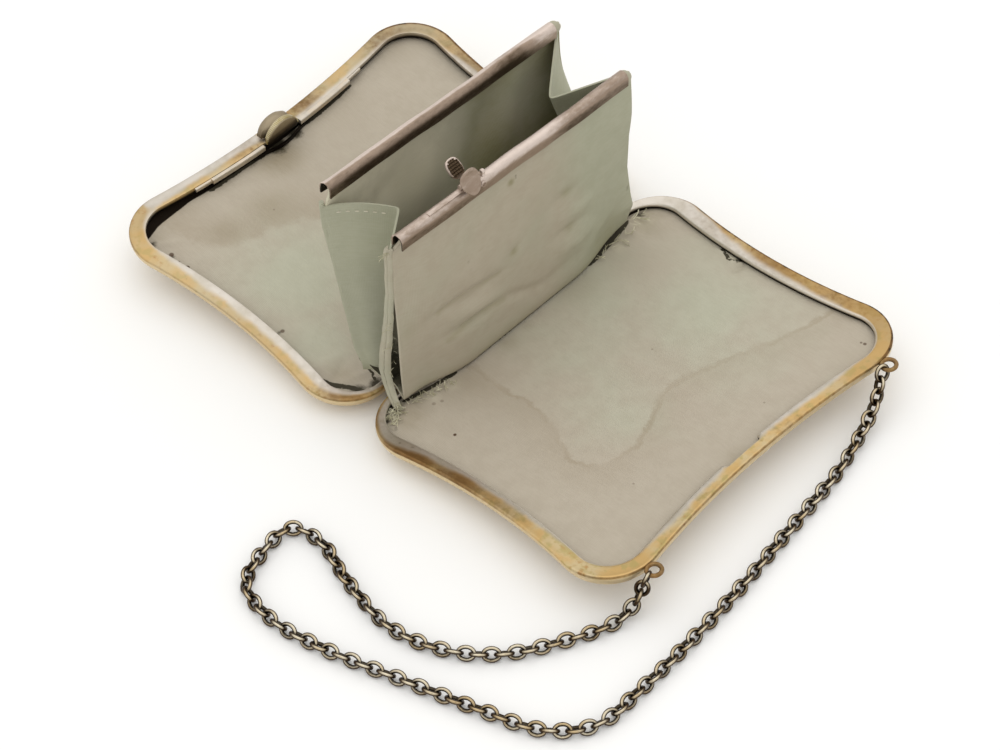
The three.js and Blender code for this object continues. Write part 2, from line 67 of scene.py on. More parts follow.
def table(columns, *rows):
    """A short table, with its columns named once: one dictionary for each row."""
    return [dict(zip(columns.split(), row)) for row in rows]


def in_frame(points):
    """Millimetres about the hinge's middle, as metres in the part's frame."""
    return np.asarray(points, float) * MM + HINGE


def on_cover(side, points):
    """Points laid out on a flat cover, where the front cover (1) or the back cover (-1) lies open."""
    x, y, z = np.moveaxis(np.asarray(points, float), -1, 0)
    c, s = math.cos(TILT), math.sin(TILT)
    return np.stack([side * (x * c - z * s), side * y, x * s + z * c], axis=-1)


def body_of(side):
    return "front" if side > 0 else "back"


print(f"hinge at {HINGE.round(4)} m, covers tilted {math.degrees(TILT):.1f} degrees")

# %% [markdown]
# # The camera
# A long lens from well above, as for a catalogue picture: the purse lies across the frame, so the camera
# also rolls a few degrees. It could be placed by eye, but a place, an aim and a roll are easier to read and
# to change.

# %% Camera
CAMERA = {
    "from": (353.44, -334.15, 534.34), "to": (14.17, -16.03, 0), "roll": -3.85, "lens": 126.03,
    "sensor": 36, "near": 0.01, "far": 20,
}


def photo_camera():
    data = bpy.data.cameras.new("photo_camera")
    data.sensor_fit = "HORIZONTAL"
    data.sensor_width = CAMERA["sensor"]
    data.lens = CAMERA["lens"]
    data.clip_start = CAMERA["near"]
    data.clip_end = CAMERA["far"]
    camera = bpy.data.objects.new("photo_camera", data)
    scene.collection.objects.link(camera)
    place, aim = Vector(in_frame(CAMERA["from"])), Vector(in_frame(CAMERA["to"]))
    camera.rotation_mode = "QUATERNION"
    camera.location = place
    roll = Quaternion((0, 0, 1), math.radians(CAMERA["roll"]))
    camera.rotation_quaternion = (aim - place).to_track_quat("-Z", "Y") @ roll
    scene.camera = camera
    return camera


print("camera", photo_camera().location)

# %% [markdown]
# # Node trees written as sums
# Every finish here is procedural, and so are the chain, the stitches and the frayed threads. Wiring nodes
# one by one hides the idea, so one small class wraps a socket and turns Python sums into Math nodes, and
# one method adds any other node. Shader trees and geometry trees share both.

# %% Sockets and trees
class Wire:
    """One output socket. Sums with numbers or other wires add Math nodes to its tree."""

    def __init__(self, graph, socket):
        self.graph = graph
        self.socket = socket

    def maths(self, operation, first, second=None):
        inputs = {0: first} if second is None else {0: first, 1: second}
        return self.graph.node("ShaderNodeMath", {"operation": operation}, inputs)

    def __add__(self, other):
        return self.maths("ADD", self, other)

    def __radd__(self, other):
        return self.maths("ADD", other, self)

    def __sub__(self, other):
        return self.maths("SUBTRACT", self, other)

    def __rsub__(self, other):
        return self.maths("SUBTRACT", other, self)

    def __mul__(self, other):
        return self.maths("MULTIPLY", self, other)

    def __rmul__(self, other):
        return self.maths("MULTIPLY", other, self)

    def __truediv__(self, other):
        return self.maths("DIVIDE", self, other)

    def __mod__(self, other):
        return self.maths("FLOORED_MODULO", self, other)

    def __abs__(self):
        return self.maths("ABSOLUTE", self)

    def sine(self):
        return self.maths("SINE", self)

    def largest(self, other):
        return self.maths("MAXIMUM", self, other)

    def sway(self, reach):
        """A noise from 0 to 1 as a swing about zero, reach wide in all."""
        return (self - 0.5) * reach


class Graph:
    """A node tree that is written from Python."""

    def __init__(self, tree):
        self.tree = tree

    def feed(self, socket, value):
        """Sets a socket to a value, or links a wire to it, or each of a list of wires."""
        if isinstance(value, list):
            for part in value:
                self.feed(socket, part)
        elif isinstance(value, Wire):
            self.tree.links.new(value.socket, socket)
        elif socket.type == "RGBA":
            socket.default_value = (*value[:3], 1)
        else:
            socket.default_value = value

    def node(self, kind, settings=None, inputs=None, output=0):
        """Adds one node: its settings first, then the values or links of its sockets."""
        made = self.tree.nodes.new(kind)
        for key, value in (settings or {}).items():
            setattr(made, key, value)
        for key, value in (inputs or {}).items():
            self.feed(made.inputs[key], value)
        return Wire(self, made.outputs[output])

    def vectors(self, operation, first, second, output=0):
        return self.node("ShaderNodeVectorMath", {"operation": operation}, {0: first, 1: second}, output)


def tint(red, green, blue):
    """A colour given as it looks on a screen, 0 to 255, as the linear values that a shader takes."""
    channels = np.array([red, green, blue]) / 255
    linear = np.where(channels <= 0.04045, channels / 12.92, ((channels + 0.055) / 1.055) ** 2.4)
    return tuple(float(value) for value in linear)


print("sums on sockets ready")

# %% [markdown]
# # Finishes
# A finish is a Principled shader whose colour, roughness and bump change over the surface. Constants go
# straight onto the shader's sockets. Patterns read the object's own millimetres, a cloth's UV map, or a
# value that is stored on the mesh, so that they stay put from every side and in every pose.

# %% The finish class
class Finish(Graph):
    """A procedural material. Its helpers name the few nodes that all finishes need."""

    def __init__(self, name, **constants):
        self.material = bpy.data.materials.new(name)
        self.material.use_nodes = True
        super().__init__(self.material.node_tree)
        self.shader = self.tree.nodes["Principled BSDF"]
        self.set(**constants)

    def set(self, **sockets):
        for name, value in sockets.items():
            self.feed(self.shader.inputs[name.replace("_", " ")], value)

    def millimetres(self):
        place = self.node("ShaderNodeTexCoord", output="Object")
        return self.node("ShaderNodeVectorMath", {"operation": "SCALE"}, {0: place, "Scale": 1 / MM})

    def cloth(self):
        return self.node("ShaderNodeUVMap", {"uv_map": "cloth"})

    def field(self, name):
        return self.node("ShaderNodeAttribute", {"attribute_name": name}, output="Fac")

    def noise(self, where, size, detail=3.0, rough=0.5):
        """Clouds about size millimetres across, from 0 to 1."""
        inputs = {"Vector": where, "Scale": 1 / size, "Detail": detail, "Roughness": rough}
        return self.node("ShaderNodeTexNoise", {}, inputs)

    def stretched(self, where, scale):
        return self.vectors("MULTIPLY", where, scale)

    def part(self, where, axis):
        return self.node("ShaderNodeSeparateXYZ", {}, {0: where}, output=axis)

    def step(self, value, low, high):
        """0 below low and 1 above high, with a soft step between."""
        inputs = {0: value, 1: low, 2: high, 3: 0.0, 4: 1.0}
        return self.node("ShaderNodeMapRange", {"interpolation_type": "SMOOTHSTEP"}, inputs)

    def mix(self, amount, first, second):
        """The first colour where amount is 0, and the second where it is 1."""
        return self.node("ShaderNodeMix", {"data_type": "RGBA"}, {0: amount, 6: first, 7: second}, output=2)

    def spot(self, where, centre, radius):
        """1 in a small round spot, 0 outside it."""
        away = self.vectors("DISTANCE", where, centre, "Value")
        return 1 - self.step(away, radius * 0.5, radius)

    def bump(self, height, depth):
        """Bends the light as if the surface rose by depth millimetres where height is 1."""
        inputs = {"Strength": 1.0, "Distance": depth * MM, "Height": height}
        self.set(Normal=self.node("ShaderNodeBump", {}, inputs))


print("finish helpers ready")

# %% [markdown]
# # Studio light and floor
# The purse was photographed in very soft light on white, so the light is mostly a bright dome with one wide
# softbox above. Metal shows what it reflects, so the dome has one side a little brighter, far behind the
# purse, for the rims to catch. The view transform is the plain one, because a film-like curve would grey
# the white floor.

# %% Dome, softbox and floor
scene.view_settings.view_transform = "Standard"
DOME = {
    "horizon": 0.75, "rise": 0.41, "tone": (1.0, 0.99, 0.975),
    "glow": 1.12, "glow_side": (-0.45, 0.84, 0.3), "glow_from": 0.7, "glow_to": 0.95,
}
SOFTBOX = {"place": (-150, 100, 1200), "size": 1.4, "watts": 2.2}
GROUND = {"size": 6, "cloud": 60, "dim": (0.93, 0.93, 0.92), "pale": (0.95, 0.95, 0.94)}


def studio_dome():
    world = bpy.data.worlds.new("studio_dome")
    scene.world = world
    world.use_nodes = True
    sky = Graph(world.node_tree)
    way = sky.node("ShaderNodeTexCoord", output="Generated")
    height = sky.node("ShaderNodeSeparateXYZ", {}, {0: way}, output="Z")
    side = Vector(DOME["glow_side"]).normalized()
    towards = sky.vectors("DOT_PRODUCT", way, side, "Value")
    rise = {0: towards, 1: DOME["glow_from"], 2: DOME["glow_to"], 3: 1.0, 4: DOME["glow"]}
    glow = sky.node("ShaderNodeMapRange", {"interpolation_type": "SMOOTHSTEP"}, rise)
    background = world.node_tree.nodes["Background"]
    sky.feed(background.inputs["Color"], DOME["tone"])
    sky.feed(background.inputs["Strength"], (height.largest(0.0) * DOME["rise"] + DOME["horizon"]) * glow)


def softbox():
    data = bpy.data.lights.new("softbox", "AREA")
    data.shape = "SQUARE"
    data.size = SOFTBOX["size"]
    data.energy = SOFTBOX["watts"]
    lamp = bpy.data.objects.new("softbox", data)
    lamp.location = Vector(in_frame(SOFTBOX["place"]))
    scene.collection.objects.link(lamp)


def pale_floor():
    finish = Finish("pale_floor", Roughness=0.9, Specular_IOR_Level=0.1)
    cloud = finish.noise(finish.millimetres(), GROUND["cloud"])
    finish.set(Base_Color=finish.mix(cloud, GROUND["dim"], GROUND["pale"]))
    mesh = bpy.data.meshes.new("floor")
    half = GROUND["size"] / 2
    corners = [(-half, -half, 0), (half, -half, 0), (half, half, 0), (-half, half, 0)]
    mesh.from_pydata(corners, [], [(0, 1, 2, 3)])
    mesh.materials.append(finish.material)
    floor = bpy.data.objects.new("floor", mesh)
    scene.collection.objects.link(floor)


studio_dome()
softbox()
pale_floor()
print("dome, softbox and floor made")

# %% [markdown]
# # Mesh helpers
# Most pieces are lofts: rows of points with quads between them. A loft could be built with a curve and
# bevel objects, but rows from a formula keep every size readable, and each point can carry values for the
# finish, such as how far it lies from the rim's edge.

# %% Lofts and pieces
def soft_step(value, low, high):
    """0 below low and 1 above high, with a soft step between, for arrays."""
    t = np.clip((np.asarray(value, float) - low) / (high - low), 0, 1)
    return t * t * (3 - 2 * t)


def lofted(rows, closed=False):
    """Points and faces between rows of points that each close on themselves, capped unless the rows close."""
    rows = np.asarray(rows, float)
    count, width = rows.shape[:2]
    faces = []
    for r in range(count if closed else count - 1):
        below, above = r * width, ((r + 1) % count) * width
        for k in range(width):
            n = (k + 1) % width
            faces.append((below + k, below + n, above + n, above + k))
    if not closed:
        faces.append(tuple(range(width)))
        faces.append(tuple(range((count - 1) * width, count * width)))
    return rows.reshape(-1, 3), faces


def joined(*parts):
    """Several (points, faces) parts as one."""
    points, faces, start = [], [], 0
    for part_points, part_faces in parts:
        points.append(part_points)
        faces += [tuple(index + start for index in face) for face in part_faces]
        start += len(part_points)
    return np.concatenate(points), faces


def tube(path, radius, sides=10, flat=1.0, closed=False, up=(0, 0, 1)):
    """A tube along a path, with its ends capped. Flat squeezes its section along up."""
    path = np.asarray(path, float)
    if closed:
        along = np.roll(path, -1, axis=0) - np.roll(path, 1, axis=0)
    else:
        along = np.gradient(path, axis=0)
    along /= np.linalg.norm(along, axis=1, keepdims=True)
    across = np.cross(np.broadcast_to(np.asarray(up, float), along.shape), along)
    across /= np.linalg.norm(across, axis=1, keepdims=True)
    over = np.cross(along, across)
    turn = np.linspace(0, 2 * math.pi, sides, endpoint=False)
    radius = np.broadcast_to(np.asarray(radius, float), (len(path),))[:, None, None]
    ring = np.cos(turn)[None, :, None] * across[:, None] + flat * np.sin(turn)[None, :, None] * over[:, None]
    return lofted(path[:, None] + radius * ring, closed)


def settled(made, body, replaces, crease):
    """A finished piece: smooth but for sharp creases, on its body, and standing for the nodes it replaces."""
    made.data.shade_smooth()
    made.data.set_sharp_from_angle(angle=math.radians(crease))
    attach(made, body)
    if replaces:
        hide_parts(*replaces)
    print(f"{made.name}: {len(made.data.polygons)} faces on {body}")
    return made


def piece(name, shape, finish, body, replaces=(), fields=None, uv=None, crease=38):
    """A mesh object from (points, faces), with the values that its finish reads and its cloth UV map."""
    points, faces = shape
    mesh = bpy.data.meshes.new(name)
    mesh.from_pydata(in_frame(points).tolist(), [], faces)
    work = bmesh.new()
    work.from_mesh(mesh)
    bmesh.ops.recalc_face_normals(work, faces=work.faces)
    work.to_mesh(mesh)
    work.free()
    for field, values in (fields or {}).items():
        store = mesh.attributes.new(field, "FLOAT", "POINT")
        store.data.foreach_set("value", np.asarray(values, np.float32).ravel())
    if uv is not None:
        corner = np.empty(len(mesh.loops), int)
        mesh.loops.foreach_get("vertex_index", corner)
        layer = mesh.uv_layers.new(name="cloth")
        layer.data.foreach_set("uv", np.asarray(uv, np.float32)[corner].ravel())
    mesh.materials.append(finish)
    made = bpy.data.objects.new(name, mesh)
    scene.collection.objects.link(made)
    return settled(made, body, replaces, crease)


# %% [markdown]
# # Worn gilding
# The covers are silver that was gilt all over. Handling wore the gold from the inner half of the rims and
# from high spots, and the tarnish left brown and orange clouds. On the mesh each point knows how far it
# lies past the border of the gold (wear, in millimetres), so the shader only has to make that border
# ragged. The same brown and soot colours also carry painted shade inside the shell, under the lip and
# along the rims' outer edge, and a painted dark reflection on the front rim's near side. The front rim's
# inner lip carries a painted highlight.

# %% Gilding finish
GOLD = tint(212, 179, 122)
PALE_GOLD = tint(212, 193, 152)
OLIVE_GOLD = tint(188, 172, 114)
COPPER = tint(192, 138, 88)
BARE_SILVER = tint(208, 201, 191)
GREY_SILVER = tint(194, 186, 172)
UMBER = tint(118, 84, 48)
# Soot is blackened tarnish, and also the painted shade on the shell's inside and under the lip.
SOOT_AND_SHADE = tint(34, 28, 22)
SHOULDER_SILVER = tint(226, 206, 170)
# The colour of the painted highlight on the front rim's inner lip.
LIP_HIGHLIGHT_SILVER = tint(234, 227, 215)
FADED_GOLD = tint(166, 154, 130)
WARM_GOLD = tint(162, 130, 80)


def gilding():
    finish = Finish("worn_gilding", Metallic=1.0)
    where = finish.millimetres()
    cloud = finish.noise(where, 7, 4)
    fleck = finish.noise(where, 1.3, 4, 0.6)
    grain = finish.noise(where, 0.35, 2)
    streak = finish.noise(where, 2.6, 3)
    ragged = fleck.sway(0.9) + cloud.sway(1.6)
    bare = finish.step(finish.field("wear") + ragged, -0.75, 0.65)
    gold = finish.mix(finish.step(cloud, 0.4, 0.62), GOLD, PALE_GOLD)
    gold = finish.mix(finish.step(streak, 0.5, 0.64) * 0.7, gold, OLIVE_GOLD)
    gold = finish.mix(finish.step(fleck + cloud * 0.6, 0.88, 1.1) * 0.65, gold, COPPER)
    faded = finish.field("faded") * (0.5 + cloud * 0.6)
    gold = finish.mix(faded, gold, FADED_GOLD)
    gold = finish.mix(finish.field("warm") * (0.55 + cloud * 0.7), gold, WARM_GOLD)
    silver = finish.mix(finish.step(cloud + streak * 0.6, 0.62, 1.05), BARE_SILVER, GREY_SILVER)
    colour = finish.mix(bare, gold, silver)
    # The brown field holds tarnish, a painted shade along the rims' outer edge and a painted dark reflection
    # on the front rim's near side; where it is strongest it turns to soot.
    stain_shade_and_reflection = finish.field("brown") + fleck.sway(0.7)
    brown = finish.step(stain_shade_and_reflection, 0.15, 0.95)
    colour = finish.mix(brown * 0.85 * (1 - bare * 0.6), colour, UMBER)
    colour = finish.mix(finish.step(stain_shade_and_reflection + streak.sway(1.6), 1.05, 1.4), colour, SOOT_AND_SHADE)
    colour = finish.mix(finish.field("outside"), colour, finish.mix(fleck, SHOULDER_SILVER, PALE_GOLD))
    pits = finish.step(fleck * 0.6 + grain * 0.4, 0.64, 0.74)
    colour = finish.mix(pits * 0.4, colour, UMBER)
    # Painted highlight along the front rim's inner lip.
    colour = finish.mix(finish.field("lip") * 0.75, colour, LIP_HIGHLIGHT_SILVER)
    # Painted shade on the shell's inside faces and under the lip.
    colour = finish.mix(finish.field("inside"), colour, SOOT_AND_SHADE)
    finish.set(Base_Color=colour, Roughness=0.4 + fleck * 0.16 + brown * 0.1)
    finish.bump(fleck * 0.5 + grain * 0.3, 0.02)
    return finish.material


gilt = gilding()
print("gilding:", len(gilt.node_tree.nodes), "nodes")

# %% [markdown]
# # The covers
# Each cover is a shallow dish pressed from sheet silver. Seen from above it is a rectangle with round
# corners and hollowed sides, and its rim is turned in over the lining. One outline function gives that
# shape at any inset, and a short profile table gives the rim's beads and bevels, so a cover is one closed
# loft from its outer floor, round the shoulder and the rim, to its inner floor. A subdivided box would need
# far more care at the hollow sides.

# %% Cover outline
COVER = {"width": 90, "reach": 72, "hinge_edge": 1.1, "corner": 10.8, "end_dip": 2.1, "clasp_dip": 2.7}
STEPS = {"corner": 24, "end": 60, "clasp": 100, "hinge": 40}


def hollow_side(start, end, radius, dip, steps):
    """One side between two corner circles: an arc that touches both, or a straight line where dip is 0."""
    half = np.linalg.norm(end - start) / 2
    along = (end - start) / (2 * half)
    outward = np.array([along[1], -along[0]])
    middle = (start + end) / 2
    t = np.linspace(-1, 1, steps + 1)[:, None]
    if not dip:
        return middle + along * t * half + outward * radius
    bend = (half**2 + dip**2) / (2 * dip)
    sweep = math.atan2(half, bend - dip)
    arc = bend - radius
    return middle + along * arc * np.sin(t * sweep) + outward * (radius - dip + arc * (1 - np.cos(t * sweep)))


def cover_outline(inset, hinge_inset=None):
    """The cover's outline moved in by inset, counter-clockwise from the hinge corner at low y."""
    hinge_inset = inset if hinge_inset is None else hinge_inset
    radius = COVER["corner"] - inset
    hinge_x = COVER["hinge_edge"] + hinge_inset + radius
    clasp_x = COVER["reach"] - COVER["corner"]
    y = COVER["width"] / 2 - COVER["corner"]
    centres = np.array([[hinge_x, -y], [clasp_x, -y], [clasp_x, y], [hinge_x, y]])
    dips = (COVER["end_dip"], COVER["clasp_dip"], COVER["end_dip"], 0)
    steps = (STEPS["end"], STEPS["clasp"], STEPS["end"], STEPS["hinge"])
    runs = [hollow_side(centres[k], centres[(k + 1) % 4], radius, dips[k], steps[k]) for k in range(4)]
    outline = []
    for k, run in enumerate(runs):
        centre = centres[(k + 1) % 4]
        first = math.atan2(*(run[-1] - centre)[::-1])
        last = math.atan2(*(runs[(k + 1) % 4][0] - centre)[::-1])
        last += 2 * math.pi if last < first else 0
        turn = np.linspace(first, last, STEPS["corner"] + 1)[1:-1]
        outline += [run, centre + radius * np.stack([np.cos(turn), np.sin(turn)], axis=1)]
    return np.concatenate(outline)


print("outline points:", len(cover_outline(0)))

# %% Cover shells
SHELL = {"depth": 6.2, "lip": 0.8, "shoulder": 10, "wall": 0.9, "steps": 14}
RIM_WIDTH = 3.6
RIM_AT_HINGE = 1.4
# The rims' profiles, from the outer edge inwards: inset and height.
FRONT_RIM = (
    (0.0, -0.5), (0.1, -0.12), (0.32, 0.04), (0.55, 0.02), (0.8, -0.04), (1.3, -0.1), (1.8, -0.17),
    (2.2, -0.22), (2.6, -0.27), (3.1, -0.34), (3.4, -0.46), (3.6, -0.78), (3.58, -1.2), (3.55, -1.6),
)
BACK_RIM = (
    (0.0, -0.5), (0.1, -0.12), (0.35, 0.0), (0.8, 0.04), (1.3, 0.08), (1.75, 0.11), (1.95, 0.14), (2.2, 0.2),
    (2.7, 0.26), (3.2, 0.31), (3.5, 0.25), (3.6, 0.05), (3.58, -0.75), (3.55, -1.1),
)
UNDER_RIM = -1.15
# Where the lip is cut away for the clasp: middle y and half width, and the inset that is left.
FRONT_NOTCH = {"y": -1.2, "half": 4.8, "inset": 2.2}
BACK_SLOT = {"y": 1.2, "half": 1.6, "inset": 1.7}
# How far in the gold reaches, at places on each cover's own outline.
FRONT_GOLD = table(
    "x y gold_ends",
    (4, -43, 1.0), (25, -43, 2.0), (48, -43, 2.4), (66, -42, 4.6), (71, -24, 1.9), (70, -12, 1.9),
    (69, 0, 2.9), (70, 14, 1.7), (71, 26, 2.4), (68, 40, 4.6), (50, 43, 2.7), (30, 43, 2.1), (12, 43, 0.0),
    (3, 36, -0.6),
)
BACK_GOLD = table(
    "x y gold_ends",
    (4, 43, 1.9), (25, 43, 1.7), (48, 43, 1.6), (67, 42, 4.4), (71, 30, 2.1), (70, 17, 1.8), (69, -8, 2.9),
    (70, -28, 2.8), (66, -41, 4.2), (45, -43, 1.8), (20, -43, 1.4), (4, -40, 1.0),
)
# Along this stretch of the back cover's clasp side the gold is left on the inner half instead.
BACK_WORN_OUTSIDE = {"from": 5, "to": 35, "ease": 2}
# Brown tarnish, which on the front cover's near side is also a painted dark reflection: where, how far it
# spreads, and how strong it is.
FRONT_BROWN_AND_DARK_REFLECTION = table(
    "x y spread amount",
    (4, -40, 6, 0.8), (16, -43, 9, 0.95), (28, -42, 9, 0.85), (40, -42, 9, 0.5), (69, 10, 8, 0.35),
    (20, 45, 11, 0.5), (36, 44, 11, 0.55), (52, 44, 11, 0.5), (70, -14, 6, 0.3), (2, 0, 30, 0.6),
)
BACK_BROWN = table(
    "x y spread amount",
    (6, 40, 7, 0.85), (69, -8, 6, 0.75), (68, -34, 7, 0.55), (48, -44, 16, 0.55), (69, 10, 7, 0.5),
    (2, 0, 30, 0.7),
)
# Gold that has faded to a dull olive.
BACK_FADED = table(
    "x y spread amount",
    (40, 43, 22, 0.6), (67, -38, 18, 1.0), (40, -43, 24, 1.0), (70, -12, 10, 0.7), (68, 38, 12, 0.2),
    (70, 16, 14, 0.5),
)
# Gold that has warmed to a brownish orange.
FRONT_WARM = table(
    "x y spread amount",
    (20, 45, 14, 0.6), (40, 44, 16, 0.9), (60, 43, 14, 0.85), (71, 32, 12, 0.4), (14, -44, 14, 0.6),
    (32, -43, 12, 0.4),
)
BACK_WARM = table("x y spread amount", (68, 38, 14, 0.45), (20, 44, 18, 0.35))
# Dirt and a painted shade keep the rims' outer edge dark, most at the far end and some along the clasp side:
# how far in it reaches, its amount, and where along the cover it starts.
RIM_EDGE_DIRT_AND_SHADE = {"inset": 0.05, "amount": 0.2, "ease": 4}
FAR_EDGE_DIRT_AND_SHADE = {"inset": 0.4, "amount": 1.15, "from": 34}
CLASP_EDGE_DIRT_AND_SHADE = {"inset": 0.2, "amount": 0.6, "from": 62}
# The front rim's inner lip carries a painted highlight, on the rows that lie further in than this.
LIP_HIGHLIGHT_FROM = 3.3


def shoulder(depth, wall):
    """The rounded shoulder from the dish's floor up to its side wall: inset and height of each row."""
    angle = np.linspace(math.pi / 2, 0, SHELL["steps"] + 1)
    inset = wall + (SHELL["shoulder"] - wall) * (1 - np.cos(angle))
    return np.stack([inset, -SHELL["lip"] - (depth - SHELL["lip"]) * np.sin(angle)], axis=1)


def nearest_blend(places, key, x, y, spread=9):
    """A value between a table's places, each weighing more the nearer it is."""
    total, weights = 0, 1e-9
    for row in places:
        weight = np.exp(-((x - row["x"]) ** 2 + (y - row["y"]) ** 2) / (2 * spread**2)) + 1e-9
        total = total + weight * row[key]
        weights = weights + weight
    return total / weights


def patches(places, x, y):
    """The strongest of a table's soft patches at each point."""
    value = np.zeros_like(x)
    for row in places:
        away = ((x - row["x"]) ** 2 + (y - row["y"]) ** 2) / row["spread"] ** 2
        value = np.maximum(value, row["amount"] * np.exp(-away))
    return value


def cover_shell(rim, cut):
    """The cover's rows, and the values that its finish reads."""
    outer = shoulder(SHELL["depth"], 0)
    inner = shoulder(SHELL["depth"] - SHELL["wall"], SHELL["wall"])[:-1][::-1]
    profile = [(inset, z, "outside") for inset, z in outer]
    profile += [(inset, z, "rim") for inset, z in rim]
    profile += [(SHELL["wall"] + 0.5, UNDER_RIM, "inside"), (SHELL["wall"], UNDER_RIM - 0.2, "inside")]
    profile += [(inset, z, "inside") for inset, z in inner]
    rows, insets, places = [], [], []
    for inset, z, place in profile:
        narrow = inset * RIM_AT_HINGE / RIM_WIDTH if place == "rim" else inset
        flat = cover_outline(inset, narrow)
        if place == "rim" and inset > cut["inset"]:
            kept = cover_outline(cut["inset"], cut["inset"] * RIM_AT_HINGE / RIM_WIDTH)
            in_cut = (np.abs(flat[:, 1] - cut["y"]) < cut["half"]) & (flat[:, 0] > COVER["reach"] / 2)
            flat = np.where(in_cut[:, None], kept, flat)
        rows.append(np.column_stack([flat, np.full(len(flat), z)]))
        insets.append(np.full(len(flat), inset))
        places += [place] * len(flat)
    return np.array(rows), np.concatenate(insets), np.array(places)


def cover(name, side, rim, cut, gold, brown, warm, faded=(), worn_outside=None):
    """One cover, and on each point how far it lies past the gold, how tarnished or faded it is, and where
    painted shade, a painted dark reflection and a painted highlight lie on it.
    """
    rows, inset, place = cover_shell(rim, cut)
    points, faces = lofted(rows)
    x, y = points[:, 0], points[:, 1]
    wear = inset - nearest_blend(gold, "gold_ends", x, y)
    if worn_outside:
        ease = worn_outside["ease"]
        ends = worn_outside["from"], worn_outside["to"]
        starts, stops = (soft_step(y, end - ease, end + ease) for end in ends)
        wear = wear * (1 - 2 * starts * (1 - stops) * (x > COVER["reach"] / 2))
    # Dirt, and a painted dark outline of shade, along the rims' outer edge.
    dirt_and_shade = RIM_EDGE_DIRT_AND_SHADE["amount"] * (inset < RIM_EDGE_DIRT_AND_SHADE["inset"])
    ease = RIM_EDGE_DIRT_AND_SHADE["ease"]
    for across, row in ((x, CLASP_EDGE_DIRT_AND_SHADE), (side * y, FAR_EDGE_DIRT_AND_SHADE)):
        share = soft_step(across, row["from"] - ease, row["from"] + ease) * (inset < row["inset"])
        dirt_and_shade = np.maximum(dirt_and_shade, row["amount"] * share)
    tarnish = np.maximum(patches(brown, x, y), dirt_and_shade)
    # The rows under the lip get painted shade, as the shell's inside does.
    under_lip = (place == "rim") & (points[:, 2] <= rim[-2][1])
    fields = {
        "wear": wear,
        "brown": tarnish * (place == "rim"),
        "faded": patches(faded, x, y),
        "warm": patches(warm, x, y),
        # Painted highlight on the front rim's inner lip.
        "lip": (place == "rim") & (inset > LIP_HIGHLIGHT_FROM) & ~under_lip & (side > 0),
        "outside": place == "outside",
        "inside": (place == "inside") | under_lip,
    }
    node = name.removesuffix("_shell")
    piece(name, (on_cover(side, points), faces), gilt, body_of(side), [node], fields)


cover("front_cover_shell", 1, FRONT_RIM, FRONT_NOTCH, FRONT_GOLD, FRONT_BROWN_AND_DARK_REFLECTION, FRONT_WARM)
cover(
    "back_cover_shell", -1, BACK_RIM, BACK_SLOT, BACK_GOLD, BACK_BROWN, BACK_WARM, BACK_FADED,
    BACK_WORN_OUTSIDE,
)

# %% [markdown]
# # Geometry Nodes for what repeats
# Hinge knuckles, links, stitches, milled ridges and frayed threads are one small shape set many times along
# a line. They could be copied in a loop, but a node tree keeps the sizes as named inputs that can be tried
# out in the editor. Each tree ends in real geometry with its finish set, and is then kept as a plain mesh
# that rides on one body.

# %% Growing pieces along lines
class Growth(Graph):
    """A geometry tree whose first input is a line and whose other inputs are named sizes."""

    def __init__(self, name, **sizes):
        super().__init__(bpy.data.node_groups.new(name, "GeometryNodeTree"))
        sockets = self.tree.interface
        sockets.new_socket("Line", in_out="INPUT", socket_type="NodeSocketGeometry")
        for label, value in sizes.items():
            kind = "NodeSocketInt" if isinstance(value, int) else "NodeSocketFloat"
            sockets.new_socket(label, in_out="INPUT", socket_type=kind).default_value = value
        sockets.new_socket("Geometry", in_out="OUTPUT", socket_type="NodeSocketGeometry")
        self.inlet = self.tree.nodes.new("NodeGroupInput")
        self.outlet = self.tree.nodes.new("NodeGroupOutput")

    def size(self, label):
        return Wire(self, self.inlet.outputs[label])

    def triple(self, x, y, z):
        return self.node("ShaderNodeCombineXYZ", {}, {0: x, 1: y, 2: z})

    def chance(self, low, high, seed):
        """A random number for each place, from low to high."""
        inputs = {2: low, 3: high, 8: seed}
        return self.node("FunctionNodeRandomValue", {"data_type": "FLOAT"}, inputs, output=1)

    def give_or_take(self, reach, seed):
        return self.chance(reach * -1.0, reach, seed)

    def spaced(self, label):
        """Even places along the line, by the input of that name: their Count, or the Pitch between them."""
        mode, socket = ("COUNT", "Count") if label == "Count" else ("LENGTH", "Length")
        curve = self.node("GeometryNodeMeshToCurve", {}, {0: self.size("Line")})
        inputs = {0: curve, socket: self.size(label)}
        return self.node("GeometryNodeResampleCurve", {"mode": mode}, inputs)

    def turned_along(self):
        """The turn that lays a shape's X along the curve and keeps its Z as upright as it can be."""
        tangent = self.node("GeometryNodeInputTangent")
        turn = None
        for pivot in ("Z", "AUTO"):
            inputs = {"Vector": tangent} if turn is None else {"Vector": tangent, "Rotation": turn}
            turn = self.node("FunctionNodeAlignRotationToVector", {"axis": "X", "pivot_axis": pivot}, inputs)
        return turn

    def rolled(self, turn, axis, angle):
        by = self.node("FunctionNodeAxisAngleToRotation", {}, {"Axis": axis, "Angle": angle})
        return self.node("FunctionNodeRotateRotation", {"rotation_space": "LOCAL"}, {0: turn, 1: by})

    def circle(self, steps, radius):
        return self.node("GeometryNodeCurvePrimitiveCircle", {}, {"Resolution": steps, "Radius": radius})

    def stored(self, shape, name, value):
        """Keeps a value on the mesh's points, for the finish to read."""
        return self.node("GeometryNodeStoreNamedAttribute", {}, {0: shape, "Name": name, "Value": value})

    def set_on(self, places, shape, **how):
        return self.node("GeometryNodeInstanceOnPoints", {}, {"Points": places, "Instance": shape, **how})

    def end(self, shape, material):
        real = self.node("GeometryNodeRealizeInstances", {}, {0: shape})
        done = self.node("GeometryNodeSetMaterial", {}, {"Geometry": real, "Material": material})
        self.feed(self.outlet.inputs[0], done)
        return self


